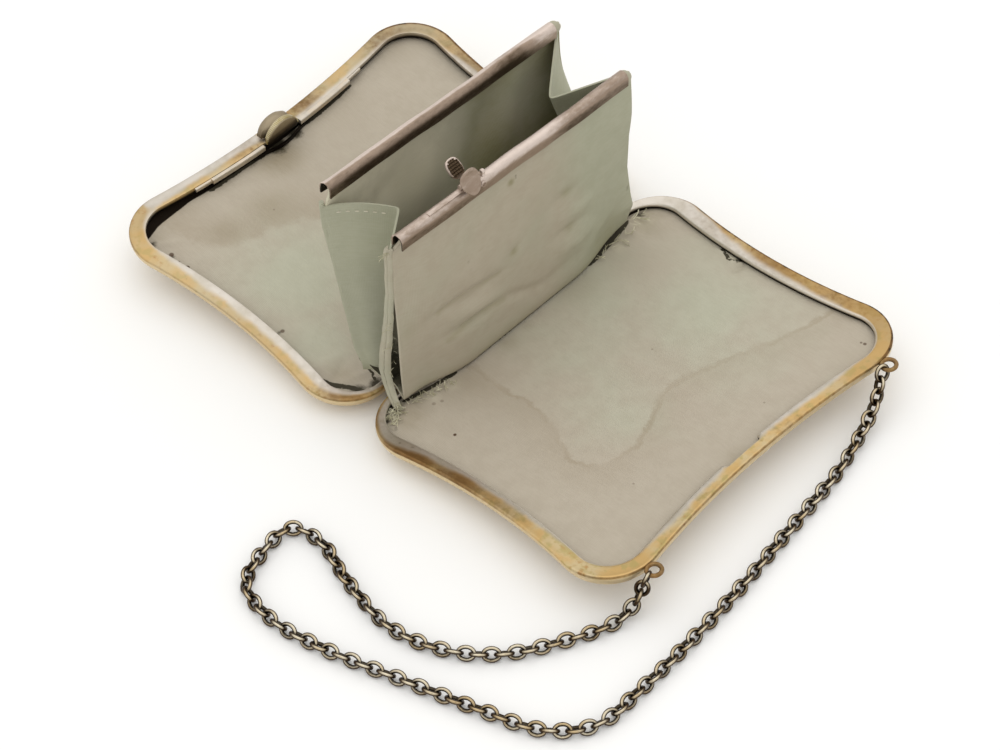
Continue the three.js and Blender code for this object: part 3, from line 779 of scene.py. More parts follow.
def grown(name, line, tree, body, slot, replaces=(), crease=50, **sizes):
    """Grows a tree along a line of points, and keeps the result as one plain mesh."""
    base = bpy.data.meshes.new(name + "_line")
    base.from_pydata(in_frame(line).tolist(), [(k, k + 1) for k in range(len(line) - 1)], [])
    made = bpy.data.objects.new(name, base)
    scene.collection.objects.link(made)
    modifier = made.modifiers.new("growth", "NODES")
    modifier.node_group = tree.tree
    for socket in tree.tree.interface.items_tree:
        if socket.in_out == "INPUT" and socket.name in sizes:
            modifier[socket.identifier] = sizes[socket.name]
    seen = made.evaluated_get(bpy.context.evaluated_depsgraph_get())
    mesh = bpy.data.meshes.new_from_object(seen)
    made.modifiers.remove(modifier)
    made.data = mesh
    bpy.data.meshes.remove(base)
    mesh.name = name
    settled(made, body, replaces, crease)


# %% [markdown]
# # Hinge, chain loops and bezel strips
# The hinge has five knuckles, three on the front cover and two on the back cover, so each cover's knuckles
# are grown as a piece of their own and turn with it. Two wire loops are soldered to the front cover's clasp
# side, and the back rim carries two low strips that fit inside the closed front rim.

# %% Hinge knuckles
KNUCKLE = {
    "reach": 32, "count": 5, "gap": 0.4, "radius": 0.8, "sides": 28,
    "leaf": 1.1, "leaf_thick": 0.5, "leaf_drop": 0.4,
}
KNUCKLE_PITCH = 2 * KNUCKLE["reach"] / KNUCKLE["count"]


def knuckle_tree():
    tree = Growth(
        "knuckles", Length=(KNUCKLE_PITCH - KNUCKLE["gap"]) * MM, Radius=KNUCKLE["radius"] * MM,
        Leaf=KNUCKLE["leaf"] * MM, Side=1.0,
    )
    inputs = {"Vertices": KNUCKLE["sides"], "Radius": tree.size("Radius"), "Depth": tree.size("Length")}
    barrel = tree.node("GeometryNodeMeshCylinder", {}, inputs)
    barrel = tree.node("GeometryNodeTransform", {}, {0: barrel, "Rotation": (math.pi / 2, 0, 0)})
    leaf_size = tree.triple(tree.size("Leaf"), tree.size("Length"), KNUCKLE["leaf_thick"] * MM)
    leaf = tree.node("GeometryNodeMeshCube", {}, {"Size": leaf_size})
    shift = tree.triple(tree.size("Side") * tree.size("Leaf"), 0.0, -KNUCKLE["leaf_drop"] * MM)
    leaf = tree.node("GeometryNodeTransform", {}, {0: leaf, "Translation": shift})
    both = tree.node("GeometryNodeJoinGeometry", {}, {0: [barrel, leaf]})
    return tree.end(tree.set_on(tree.size("Line"), both), gilt)


def knuckles(name, side, first):
    """Every other knuckle along the hinge, from the first one given."""
    places = range(first, KNUCKLE["count"], 2)
    line = [(0, -KNUCKLE["reach"] + (k + 0.5) * KNUCKLE_PITCH, 0) for k in places]
    grown(name, line, hinge_tree, body_of(side), "gilt_silver", Side=float(side))


hinge_tree = knuckle_tree()
knuckles("front_knuckles", 1, 0)
knuckles("back_knuckles", -1, 1)

# %% Loops and bezel strips
LOOP = {"x": 73.6, "y": 34.8, "z": -0.6, "ring": 1.5, "wire": 0.46}
# The strips along the back rim's clasp side, in the cover's own frame: a tall strip on a longer, lower base.
BEZEL_STRIPS = table(
    "from to inner outer low high",
    (6.3, 20.6, 4.8, 3.9, -0.45, 0.7), (-19.8, -4.2, 4.8, 3.72, -0.45, 0.7),
    (20, 24.6, 4.2, 3.5, -0.6, 0.15), (-24.2, -19, 4.0, 3.5, -0.5, 0.2),
)


def ring_of_wire(centre, ring, wire, axis=2, steps=36, sides=12):
    """A closed ring of round wire about an axis: 0 for x, 1 for y or 2 for z."""
    turn = np.linspace(0, 2 * math.pi, steps, endpoint=False)
    path = np.zeros((steps, 3))
    path[:, (axis + 1) % 3] = ring * np.cos(turn)
    path[:, (axis + 2) % 3] = ring * np.sin(turn)
    return tube(path + np.asarray(centre, float), wire, sides, closed=True, up=np.eye(3)[axis])


def clasp_side_x(inset, y):
    """How far out the hollowed clasp side lies at y."""
    half = COVER["width"] / 2 - COVER["corner"]
    bend = (half**2 + COVER["clasp_dip"] ** 2) / (2 * COVER["clasp_dip"]) - COVER["corner"] + inset
    return COVER["reach"] - COVER["clasp_dip"] - inset + bend - np.sqrt(bend**2 - y**2)


def bezel_strip(row, steps=24, ease=0.12):
    rows = []
    for y in np.linspace(row["from"], row["to"], steps + 1):
        inner, outer = clasp_side_x(row["inner"], y), clasp_side_x(row["outer"], y)
        low, high = row["low"], row["high"]
        section = [
            (inner, low), (outer, low), (outer, high - ease), (outer - ease, high),
            (inner + ease, high), (inner, high - ease),
        ]
        rows.append([(x, y, z) for x, z in section])
    return lofted(rows)


def gilt_trim(name, side, shape, wear, brown):
    """A small soldered piece with the covers' finish."""
    points, faces = shape
    fields = {"wear": np.full(len(points), wear), "brown": np.full(len(points), brown)}
    piece(name, (on_cover(side, points), faces), gilt, body_of(side), fields=fields)


loops = joined(*[
    ring_of_wire((LOOP["x"], end * LOOP["y"], LOOP["z"]), LOOP["ring"], LOOP["wire"]) for end in (-1, 1)
])
gilt_trim("chain_loops", 1, loops, wear=-0.6, brown=0.8)
strips = joined(*[bezel_strip(row) for row in BEZEL_STRIPS])
gilt_trim("bezel_strips", -1, strips, wear=0.35, brown=0.12)

# %% [markdown]
# # Silk
# Linings and pocket are one plain-woven silk, once pale green and now mostly beige, with soft green patches
# where it faded less. The threads are far finer than a millimetre, so they are a faint bump along the
# cloth's own UV map, with a few thicker slubs. A stain is a table of soft patches, and a tide line is the
# distance to one curve, kept on the mesh, so the shader can draw it thinner than the mesh's own faces.

# %% Silk finish
# The soiled colour is also used for painted shade, most of all inside the pocket.
LINING_SILK = {"beige": tint(180, 170, 153), "green": tint(181, 180, 160), "soiled_and_shaded": tint(128, 114, 84)}
POCKET_SILK = {"beige": tint(174, 164, 145), "green": tint(168, 168, 146), "soiled_and_shaded": tint(112, 106, 50)}
PALE_SILK = tint(214, 208, 184)
DARK_THREAD = (0.12, 0.11, 0.08)
LIGHT_THREAD = (0.75, 0.74, 0.66)
TIDE_BROWN = tint(142, 124, 98)
# Grime, and also the painted shade under the rim, in gaps and at torn places.
GRIME_AND_SHADE = tint(40, 36, 20)
RUST = tint(70, 46, 28)
THREAD = 0.32


def silk(name, cloth, specks=(), tide=None):
    """Faded silk. A lining also has rusty specks, a tide line, and painted shade under the rim and in its
    gaps.
    """
    finish = Finish(name, Roughness=0.66, Specular_IOR_Level=0.09, Sheen_Weight=0.03, Sheen_Roughness=0.4)
    where = finish.cloth()
    cloud = finish.noise(where, 16, 3)
    mottle = finish.noise(where, 3.5, 4, 0.6)
    slub = finish.noise(finish.stretched(where, (0.35, 3.2, 1.0)), 1.0, 2)
    fine = finish.noise(where, 0.8, 4, 0.7)
    green = finish.step(finish.field("green") + cloud.sway(0.9) + mottle.sway(0.25), 0.1, 0.9)
    colour = finish.mix(green, cloth["beige"], cloth["green"])
    colour = finish.mix(finish.field("pale") * (0.6 + mottle * 0.6), colour, PALE_SILK)
    if tide:
        away = finish.field("tide") + mottle.sway(3.4) + cloud.sway(2.4) + fine.sway(1.6)
        patchy = finish.step(cloud + mottle * 0.5, 0.5, 0.95)
        rim = (1 - finish.step(abs(away), 0.1, 1.1)) * patchy * tide["rim"]
        within = finish.step(away, -tide["reach"], 0.0) * (1 - finish.step(away, -0.4, tide["edge"]))
        colour = finish.mix(rim.largest(within * tide["wash"]), colour, TIDE_BROWN)
    # Soil, and painted shade that uses the same colour.
    soil = finish.step(finish.field("soil") + mottle.sway(0.5) + cloud.sway(0.35), 0.12, 1.0)
    colour = finish.mix(soil * 0.8, colour, cloth["soiled_and_shaded"])
    shade = finish.step(mottle * 0.6 + slub * 0.4, 0.35, 0.65)
    colour = finish.mix(0.05, colour, finish.mix(shade, DARK_THREAD, LIGHT_THREAD))
    # Grime and painted shade from the mesh, and on a lining also painted shade under the rim and in its gaps.
    dirt_and_shade = finish.field("grime") + fine.sway(0.6) + mottle.sway(0.5)
    if tide:
        # Painted shade under the rim's lip, along the board's edge.
        under_rim = 1 - finish.step(finish.field("edge") + mottle.sway(0.6), 0.0, 0.35)
        gap = finish.field("gap") + fine.sway(0.9) + mottle.sway(0.9)
        # Painted shade in the gaps.
        painted_gap_shade = 1 - finish.step(gap, 0.55, 1.15)
        dirt_and_shade = dirt_and_shade.largest(under_rim * 0.8).largest(painted_gap_shade)
    colour = finish.mix(finish.step(dirt_and_shade, 0.3, 0.85) * 0.92, colour, GRIME_AND_SHADE)
    for speck in specks:
        spot = finish.spot(where, (speck["x"], speck["y"], 0), speck["radius"])
        colour = finish.mix(spot * speck["amount"], colour, RUST)
    warp, weft = ((finish.part(where, axis) * (2 * math.pi / THREAD)).sine() for axis in "XY")
    finish.set(Base_Color=colour)
    finish.bump(warp * 0.12 + weft * 0.12 + slub * 0.22 + mottle * 0.4, 0.04)
    return finish.material


# Specks on each lining, in its cover's own millimetres.
FRONT_SPECKS = table(
    "x y radius amount",
    (18.1, -33.2, 0.45, 0.9), (65.4, 37.1, 0.5, 0.7), (64.6, 36.9, 0.35, 0.6), (55.0, -20.5, 0.3, 0.35),
    (33.0, 9.0, 0.3, 0.3), (60.5, 12.0, 0.3, 0.3), (9.0, -30.0, 0.55, 0.35), (9.6, -28.3, 0.5, 0.35),
)
BACK_SPECKS = table(
    "x y radius amount",
    (58.5, 39.4, 0.7, 0.8), (53.6, 39.3, 0.5, 0.75), (56.0, 39.6, 0.35, 0.7), (27.2, 37.4, 0.6, 0.7),
    (52.0, 16.0, 0.3, 0.3), (40.0, -8.0, 0.3, 0.25),
)
FRONT_TIDE = {"rim": 0.44, "wash": 0.14, "reach": 9.0, "edge": 0.8}
BACK_TIDE = {"rim": 0.1, "wash": 0.26, "reach": 12.0, "edge": 2.0}
front_silk = silk("front_lining_silk", LINING_SILK, FRONT_SPECKS, FRONT_TIDE)
back_silk = silk("back_lining_silk", LINING_SILK, BACK_SPECKS, BACK_TIDE)
pocket_silk = silk("pocket_silk", POCKET_SILK)
print("silk finishes:", [finish.name for finish in (front_silk, back_silk, pocket_silk)])

# %% [markdown]
# # The silk-covered boards
# Inside each cover lies a card covered with silk, tucked under the rim. A grid would not fit the rounded
# outline, so even points inside the outline are triangulated, raised by a soft crown, shallow waves and a
# few puckers, and given a thin closed thickness. The back board has shrunk: its clasp edge is straight now,
# and leaves a dark gap.

# %% Board helpers
BOARD = {
    "inset": 2.8, "hinge_inset": 1.2, "grid": 0.85, "edge": -1.95, "thick": 0.7,
    "crown": 0.5, "wave": 0.16, "ripple": 0.07,
}
# The back board's clasp edge: y along the cover, and how far out the board still reaches.
BACK_EDGE = {
    "y": (-27, -21, -17, 0, 10, 20, 27, 36, 44),
    "x": (69.4, 68, 66.6, 65.4, 65.5, 66, 66.7, 66.4, 64),
}
# The tide line of an old stain across the front board.
TIDE_LINE = (
    (-4, -17.4), (7, -17.6), (14.6, -18.2), (24.6, -17.8), (32.6, -20.2), (41.2, -23.6), (46.8, -21.6),
    (48.4, -12.6), (45.4, -4.6), (42.8, 3.6), (44.9, 10.3), (48.2, 19.2), (52.2, 29.4), (54, 39.5), (56, 48),
)
# The edge of a brown cloud on the back board.
BACK_TIDE_LINE = (
    (4, 2), (16, 6), (32, 7), (44.5, 10.7), (48.1, 16.6), (49.9, 20.6), (50.3, 24.6), (52.1, 28.6),
    (55.3, 31.4), (59.3, 33.3), (68, 35),
)
# Puckers and tucks: place, spread along and across, the angle of their run, and height.
FRONT_PUCKERS = table(
    "x y long wide angle rise",
    (29.6, 38.4, 2.2, 0.7, 50, 1.0), (31, 37.4, 1.9, 0.7, 75, -0.7), (26.6, 39.4, 2.4, 0.7, 10, 0.7),
    (6, 36, 3.4, 0.8, 35, 0.55), (4.6, 33, 3.0, 0.8, -20, 0.5), (8.6, 33.6, 3.6, 1.0, 10, -0.4),
    (9.5, 38, 2.4, 0.7, 80, 0.35), (6, -35, 3.0, 0.8, -40, 0.5), (8.4, -37, 2.6, 0.7, 20, -0.4),
    (9, -30, 5.0, 1.1, -35, 0.25),
)
BACK_PUCKERS = table(
    "x y long wide angle rise",
    (8, 35.6, 3.4, 0.8, 70, 0.5), (11.5, 36.6, 2.8, 0.8, 110, -0.4), (15, 37, 3.4, 1.0, 80, 0.3),
    (61.5, 38, 3.2, 0.9, 50, 0.5), (60, 34, 5.0, 1.4, 75, 0.25),
)


def inside(outline, points):
    """Which points lie inside a closed outline."""
    x, y = points[:, 0][:, None], points[:, 1][:, None]
    start, end = outline, np.roll(outline, -1, axis=0)
    crosses = (start[:, 1] > y) != (end[:, 1] > y)
    rise = np.where(end[:, 1] == start[:, 1], 1e-9, end[:, 1] - start[:, 1])
    at = start[:, 0] + (y - start[:, 1]) / rise * (end[:, 0] - start[:, 0])
    return (crosses & (x < at)).sum(axis=1) % 2 == 1


def distance_to(path, points, closed=False):
    """Distance from each point to a path, and on which side of it the point lies."""
    start = path if closed else path[:-1]
    end = np.roll(path, -1, axis=0) if closed else path[1:]
    run = end - start
    from_start = points[:, None] - start
    t = np.clip((from_start * run).sum(axis=2) / (run**2).sum(axis=1), 0, 1)
    off = from_start - t[..., None] * run
    away = np.linalg.norm(off, axis=2)
    nearest = away.argmin(axis=1)
    row = np.arange(len(points))
    side = np.sign(run[nearest, 0] * off[row, nearest, 1] - run[nearest, 1] * off[row, nearest, 0])
    return away[row, nearest], side


def board_plan(outline):
    """Points and triangles of a flat board: its outline, and an even field of points inside it."""
    low, high = outline.min(axis=0), outline.max(axis=0)
    step = BOARD["grid"]
    lift = step * math.sqrt(0.75)
    field = []
    for row, y in enumerate(np.arange(low[1], high[1], lift)):
        shift = 0.5 * step * (row % 2)
        field += [(x + shift, y) for x in np.arange(low[0], high[0], step)]
    field = np.array(field)
    field = field[inside(outline, field)]
    field = field[distance_to(outline, field, True)[0] > 0.55 * step]
    flat = [Vector(point) for point in np.concatenate([outline, field])]
    made = geometry.delaunay_2d_cdt(flat, [], [list(range(len(outline)))], 1, 1e-6)
    return np.array([tuple(point) for point in made[0]]), [tuple(face) for face in made[2]]


def folds(rows, x, y):
    """The summed height of a table's long soft folds."""
    height = np.zeros_like(x)
    for row in rows:
        angle = math.radians(row["angle"])
        along = (x - row["x"]) * math.cos(angle) + (y - row["y"]) * math.sin(angle)
        across = (y - row["y"]) * math.cos(angle) - (x - row["x"]) * math.sin(angle)
        height += row["rise"] * np.exp(-((along / row["long"]) ** 2) - (across / row["wide"]) ** 2)
    return height


def closed_sheet(plan_points, faces, top, bottom):
    """A thin closed sheet over a triangulated plan, given the points of its two sides."""
    count = len(plan_points)
    edges = {(a, b) for face in faces for a, b in zip(face, face[1:] + face[:1])}
    wall = [(a, b, b + count, a + count) for a, b in sorted(edges) if (b, a) not in edges]
    under = [tuple(index + count for index in reversed(face)) for face in faces]
    return np.concatenate([top, bottom]), [*faces, *under, *wall]


print("board helpers ready")

# %% The two boards
# Where the silk is still green, and where it is soiled, with painted shade beside the pocket's foot and along
# the back board's clasp edge.
FRONT_GREEN = table(
    "x y spread amount",
    (14, 12, 26, 0.6), (34, 24, 24, 0.7), (36, -6, 14, 0.6),
)
FRONT_SOIL_AND_SHADE = table(
    "x y spread amount",
    (10, -22, 9, 0.35), (7, -35, 6, 0.5), (6, 36, 8, 0.5), (67, -2, 5, 0.45), (24, -21, 7, 0.2),
    (8.6, -8, 3.6, 0.4), (8, -2, 3, 0.35), (8, 12, 8, 0.4), (14, 26, 12, 0.3), (66, 33, 7, 0.25),
)
BACK_GREEN = table("x y spread amount", (36, 25, 17, 0.85), (20, 32, 11, 0.7))
BACK_SOIL_AND_SHADE = table(
    "x y spread amount",
    (55, 27, 5, 0.45), (64, 38, 4, 0.45), (62.4, 5, 7, 0.7), (10, 37, 5, 0.5), (67, -35, 7, 0.4),
    (53, 16, 7, 0.4), (60, -14, 9, 0.3),
)
# Black dirt, and painted shade at gaps, at torn places and under the clasp.
FRONT_GRIME_AND_SHADE = table(
    "x y spread amount",
    (3.4, -35.6, 1.5, 1.0), (4.4, -39.4, 1.3, 0.95), (7.4, -39.6, 1.2, 0.6), (4.2, 36.8, 1.5, 0.8),
    (7.2, 36.6, 1.1, 0.5), (29.8, 39.4, 1.0, 0.9), (26, 40.2, 1.0, 0.7), (66.5, -1.2, 1.2, 0.6),
)
BACK_GRIME_AND_SHADE = table(
    "x y spread amount",
    (5, 37.4, 2, 1.0), (3.4, 33.6, 2.2, 1.0), (57.8, 39.7, 0.9, 0.8), (53.6, 39.6, 0.8, 0.9),
    (63.4, 40.2, 1.4, 0.7), (27.4, 38.2, 0.8, 0.8), (64.8, 3, 3.0, 1.0), (65, 10, 2.0, 0.6),
    (64.8, -2.4, 2.4, 0.9),
)
# Painted shade in the gaps along the pocket's foot, at the torn edges and under the back strips: a path, and
# how far its dark spreads.
FRONT_GAP_SHADE = table(
    "path spread",
    (((6.0, -21), (5.6, -24), (4.6, -28.8), (3.6, -33)), 0.65),
    (((6.8, -17), (6.6, -8.6), (6.2, 1), (6.4, 9.6), (5.9, 18)), 0.2),
    (((5.9, 19), (5.5, 22.4), (4.7, 26.8), (3.6, 33)), 0.9),
    (((23.6, 40.1), (27.8, 38.3), (30, 38.5), (29.7, 40)), 0.5),
)
BACK_GAP_SHADE = table(
    "path spread",
    (((20, 41.4), (13, 40.9), (9, 39.6), (6, 37.4)), 0.7),
    (((13.1, 29.5), (10.4, 31.4), (6.9, 32), (4.6, 33)), 0.42),
    (((65.4, 6), (65.6, 13), (66, 21)), 1.0),
    (((65.2, -5), (65.5, -12), (66.2, -20)), 0.9),
)
# Lighter, fluffed-up places.
FRONT_PALE = table(
    "x y spread amount",
    (28.4, 39.3, 1.0, 0.9), (8.0, -23.8, 1.3, 0.6), (7.4, -28.5, 1.6, 0.35), (7.2, 27, 1.8, 0.4),
    (6.2, 35.5, 2.2, 0.5),
)


def line_distance(lines, plan):
    """How far each point lies from the nearest line, counted in that line's own spread."""
    paths = [(np.array(row["path"], float), row["spread"]) for row in lines]
    return np.min([distance_to(path, plan)[0] / spread for path, spread in paths], axis=0)


def spline(points, counts, power=0.5):
    """A smooth curve through points: counts steps in each stretch, paced by distance to the power."""
    points = np.asarray(points, float)
    ends = [2 * points[0] - points[1]], [2 * points[-1] - points[-2]]
    padded = np.concatenate([ends[0], points, ends[1]])
    counts = np.broadcast_to(counts, len(points) - 1)
    made = []
    for k, count in enumerate(counts):
        p0, p1, p2, p3 = padded[k : k + 4]
        d0, d1, d2 = (np.linalg.norm(b - a) ** power for a, b in ((p0, p1), (p1, p2), (p2, p3)))
        start = d1 * ((p1 - p0) / d0 - (p2 - p0) / (d0 + d1) + (p2 - p1) / d1)
        end = d1 * ((p2 - p1) / d1 - (p3 - p1) / (d1 + d2) + (p3 - p2) / d2)
        t = np.linspace(0, 1, count, endpoint=False)[:, None]
        cubic = (2 * p1 - 2 * p2 + start + end) * t**3 + (3 * p2 - 3 * p1 - 2 * start - end) * t**2
        made.append(cubic + start * t + p1)
    return np.concatenate([*made, points[-1:]])


def board_height(x, y, away, puckers):
    """A soft crown with shallow waves, a finer ripple near the edge, and a table's puckers."""
    waves = np.sin(x / 9 + 0.8 * np.sin(y / 13)) * np.sin(y / 11 + 1.3)
    ripple = np.sin(x / 1.9 + 2.2 * np.sin(y / 7.3)) * np.sin(y / 2.1 + 1.7 * np.sin(x / 6.1))
    height = BOARD["crown"] * (1 - np.exp(-away / 5)) + BOARD["wave"] * waves * soft_step(away, 0, 8)
    near_edge = BOARD["ripple"] * ripple * np.exp(-((away - 2) / 2.5) ** 2)
    return height + (near_edge + folds(puckers, x, y) * soft_step(away, 0.6, 1.6))


def flat_area(plan, faces):
    corners = plan[np.array(faces)]
    one, two = corners[:, 1] - corners[:, 0], corners[:, 2] - corners[:, 0]
    return np.abs(one[:, 0] * two[:, 1] - one[:, 1] * two[:, 0]).sum() / 2


def lining(side, outline, puckers, green, soil, grime, painted_gap_shade, finish, tide, pale=()):
    """One silk-covered board, from its outline and the tables of what shows on it."""
    plan, faces = board_plan(outline)
    x, y = plan.T
    away = distance_to(outline, plan, True)[0]
    top = np.column_stack([plan, BOARD["edge"] + board_height(x, y, away, puckers)])
    points, faces_all = closed_sheet(plan, faces, top, top - (0, 0, BOARD["thick"]))
    off, hand = distance_to(spline(tide, 10), plan)
    fields = {"green": patches(green, x, y), "soil": patches(soil, x, y), "pale": patches(pale, x, y)}
    fields.update(grime=patches(grime, x, y), gap=line_distance(painted_gap_shade, plan), tide=off * hand, edge=away)
    fields = {key: np.tile(values, 2) for key, values in fields.items()}
    body = body_of(side)
    node = f"{body}_lining"
    shape = on_cover(side, points), faces_all
    made = piece(f"{node}_board", shape, finish, body, [node], fields, np.tile(plan, (2, 1)))
    area = flat_area(plan, faces)
    flat = plan.max(axis=0) - plan.min(axis=0)
    flat[1] * MM
    flat[0] * MM
    print(f"{body} board cut {flat[1]:.1f} by {flat[0]:.1f} mm, {area:.0f} square mm")


front_outline = cover_outline(BOARD["inset"], BOARD["hinge_inset"])
shrunk = np.interp(front_outline[:, 1], BACK_EDGE["y"], BACK_EDGE["x"])
back_outline = np.column_stack([np.minimum(front_outline[:, 0], shrunk), front_outline[:, 1]])
lining(
    1, front_outline, FRONT_PUCKERS, FRONT_GREEN, FRONT_SOIL_AND_SHADE, FRONT_GRIME_AND_SHADE, FRONT_GAP_SHADE, front_silk, TIDE_LINE,
    FRONT_PALE,
)
lining(
    -1, back_outline, BACK_PUCKERS, BACK_GREEN, BACK_SOIL_AND_SHADE, BACK_GRIME_AND_SHADE, BACK_GAP_SHADE, back_silk, BACK_TIDE_LINE,
)

# %% [markdown]
# # The silk pocket
# One strip of silk makes the pocket's front wall, floor and back wall. Its section is a smooth curve
# through a few points, swept along the hinge, and every point is then moved a little: the foot draws in
# towards the ends, the near edge is pulled back by its seam, and long soft folds cross the front wall. A
# cloth simulation would give other folds than the ones that this pocket has kept for a century, so they are
# listed in tables.

# %% Pocket strip
POCKET = {"middle_y": -1, "half": 33, "taper": 0.00094, "thick": 0.55, "columns": 110, "row": 0.8}
# The strip's section from the front rim down, across the floor and up to the back rim: x and z.
FRONT_WALL = ((6.7, 46.6), (7, 32), (7.1, 18), (7.1, 7), (6.8, -0.45))
POCKET_FLOOR = ((4.9, 1.6), (2.4, 2.6), (-1.8, 2.9))
BACK_WALL = ((-13, 47.5), (-12.8, 38), (-10.8, 28.5), (-8.6, 14.8), (-7.2, 7.2), (-5.2, 4))
FOOT_DRAW = {"from_y": 15, "to_y": 34, "height": 42, "keep": 0.6, "lift": 1.4, "lift_height": 12}
# Long folds in the front wall and the back wall: x is along the hinge here and y is height.
FRONT_FOLDS = table(
    "x y long wide angle rise",
    (-16.6, 19.2, 7, 1.3, -2, -1.5), (-15.2, 14.7, 6.4, 1.7, -8, 0.9), (-15, 11.2, 6.5, 1.0, -2, -1.2),
    (-2, 8.4, 6, 1.2, -22, -0.6), (12.1, 26.4, 4, 1.5, -4, -0.5), (15.2, 20.6, 5, 1.6, -4, 0.6),
    (12.2, 16.6, 4.5, 1.2, -3, -0.7), (13.6, 11.8, 5, 1.8, -3, 0.6), (-3.6, 22.4, 2.4, 0.9, 20, -0.35),
    (-26, 26, 5, 1.5, 70, 0.3), (-12, 24, 12, 7, 0, 0.6), (14, 14, 11, 7, 0, 0.6), (-20, 18, 7, 5, 0, -0.5),
    (-16.4, 30, 3.6, 0.7, 84, -0.16), (8, 6, 9, 1.8, 6, -0.4), (22, 8, 7, 2, 25, 0.35),
    (8, 36, 10, 4, 12, 0.25),
)
BACK_FOLDS = table(
    "x y long wide angle rise",
    (-8, 34, 9, 4, 55, 0.7), (6, 33, 10, 3.4, 60, -0.8), (16, 36, 9, 3.6, 68, 0.7),
    (-20, 36, 8, 3, 40, -0.5),
)
# How far the wall's end edges stand in or out of the plain section at each height.
NEAR_END = {"z": (0, 10, 19, 29, 38, 44, 46.6), "x": (0.6, 0, -0.5, -1.5, -1.7, -1.2, 0)}
FAR_END = {"z": (0, 6.8, 10.7, 18, 28, 35, 46), "x": (0.5, 2, 1, -0.3, -0.5, 0, 0)}
# How far the cloth has slipped back inside the channels at the near end.
MOUTH_SLIP = 1.4


def lean(z, y):
    """The pocket stands a little higher towards its near end."""
    return z * (1 - POCKET["taper"] * (y - POCKET["middle_y"]))


def foot_draw(y, z, height):
    """How much the foot draws in: most at the pocket's ends, and nothing above height."""
    out = soft_step(np.abs(y - POCKET["middle_y"]), FOOT_DRAW["from_y"], FOOT_DRAW["to_y"])
    return out * (1 - soft_step(z, 0, height))


def pocket_surface(section, y):
    """The strip's middle surface: a row of points along the hinge for each point of the section."""
    x, z = section[:, :1], section[:, 1:]
    y = np.asarray(y, float)[None, :]
    front = soft_step(x, 0, 3)
    across = x * (1 - (1 - FOOT_DRAW["keep"]) * foot_draw(y, z, FOOT_DRAW["height"]) * front)
    y_all, z_all = np.broadcast_to(y, across.shape), np.broadcast_to(z, across.shape)
    on_wall = soft_step(x, 5.2, 6.6)
    across = across + folds(FRONT_FOLDS, y_all, z_all) * on_wall
    across = across + folds(BACK_FOLDS, y_all, z_all) * soft_step(-x, 6, 9) * (1 - soft_step(z, 42, 46))
    near = soft_step(-y, 27, 34) * np.interp(z, NEAR_END["z"], NEAR_END["x"])
    far = soft_step(y, 24, 32) * np.interp(z, FAR_END["z"], FAR_END["x"])
    across = across + (near + far) * on_wall
    lift = FOOT_DRAW["lift"] * foot_draw(y, z, FOOT_DRAW["lift_height"]) * front
    slipped = MOUTH_SLIP * soft_step(z, 43, 46) * soft_step(-y, 29, 34)
    return np.stack([across, y_all + slipped, lean(z_all + lift, y_all)], axis=-1)


def grid_sheet(surface, thick):
    """A closed sheet of even thickness about a grid of points, with its cloth UVs in millimetres."""
    rows, columns = surface.shape[:2]
    normal = np.cross(np.gradient(surface, axis=0), np.gradient(surface, axis=1))
    normal /= np.linalg.norm(normal, axis=2, keepdims=True)
    half = np.asarray(thick, float) / 2 * normal
    index = np.arange(rows * columns).reshape(rows, columns)
    quads = np.stack([index[:-1, :-1], index[1:, :-1], index[1:, 1:], index[:-1, 1:]], axis=-1)
    faces = [tuple(int(i) for i in quad) for quad in quads.reshape(-1, 4)]
    flat = surface.reshape(-1, 3)
    shape = closed_sheet(flat, faces, (surface + half).reshape(-1, 3), (surface - half).reshape(-1, 3))
    down = np.linalg.norm(np.diff(surface, axis=0), axis=2).mean(axis=1)
    over = np.linalg.norm(np.diff(surface, axis=1), axis=2).mean(axis=0)
    v, u = np.concatenate([[0], np.cumsum(down)]), np.concatenate([[0], np.cumsum(over)])
    uv = np.stack(np.broadcast_arrays(u[None, :], v[:, None]), axis=-1).reshape(-1, 2)
    return shape, np.tile(uv, (2, 1)), (u[-1], v[-1])


# Soiled places on the front wall, some of them painted shade at the ends of folds: x is along the hinge and y
# is height.
WALL_SOIL_AND_CREASE_SHADE = table(
    "x y spread amount",
    (-24, 19.6, 1.3, 0.5), (-22.6, 10.4, 1.3, 0.3), (12.1, 26.4, 3, 0.45), (12.2, 16.6, 2.4, 0.5),
    (-3.8, 22.2, 1.6, 0.55), (4, 30, 7, 0.2), (-31, 20, 4, 0.3), (-3, 41, 1.2, 0.7), (-24, 32, 5, 0.2),
    (24, 6, 6, 0.35),
)
# Painted shade along creases, from end to end.
WALL_CREASE_SHADE = table(
    "path spread",
    (((-23.5, 19.8), (-16, 18.6), (-8, 19.2)), 1.1), (((-22.4, 10.4), (-15, 11.4), (-7, 10.2)), 1.2),
)
# Dark spots on the front wall, grime with painted shade along a fold and at the far edge: x along the hinge,
# y height.
WALL_GRIME_AND_SHADE = table(
    "x y spread amount",
    (-1.6, 41.6, 0.7, 0.6), (-16.8, 32, 0.8, 0.5), (-16.3, 29, 0.8, 0.5), (-15.8, 26.4, 0.8, 0.45),
    (31.5, 12, 1.2, 0.5), (31.6, 27, 1.0, 0.45),
)


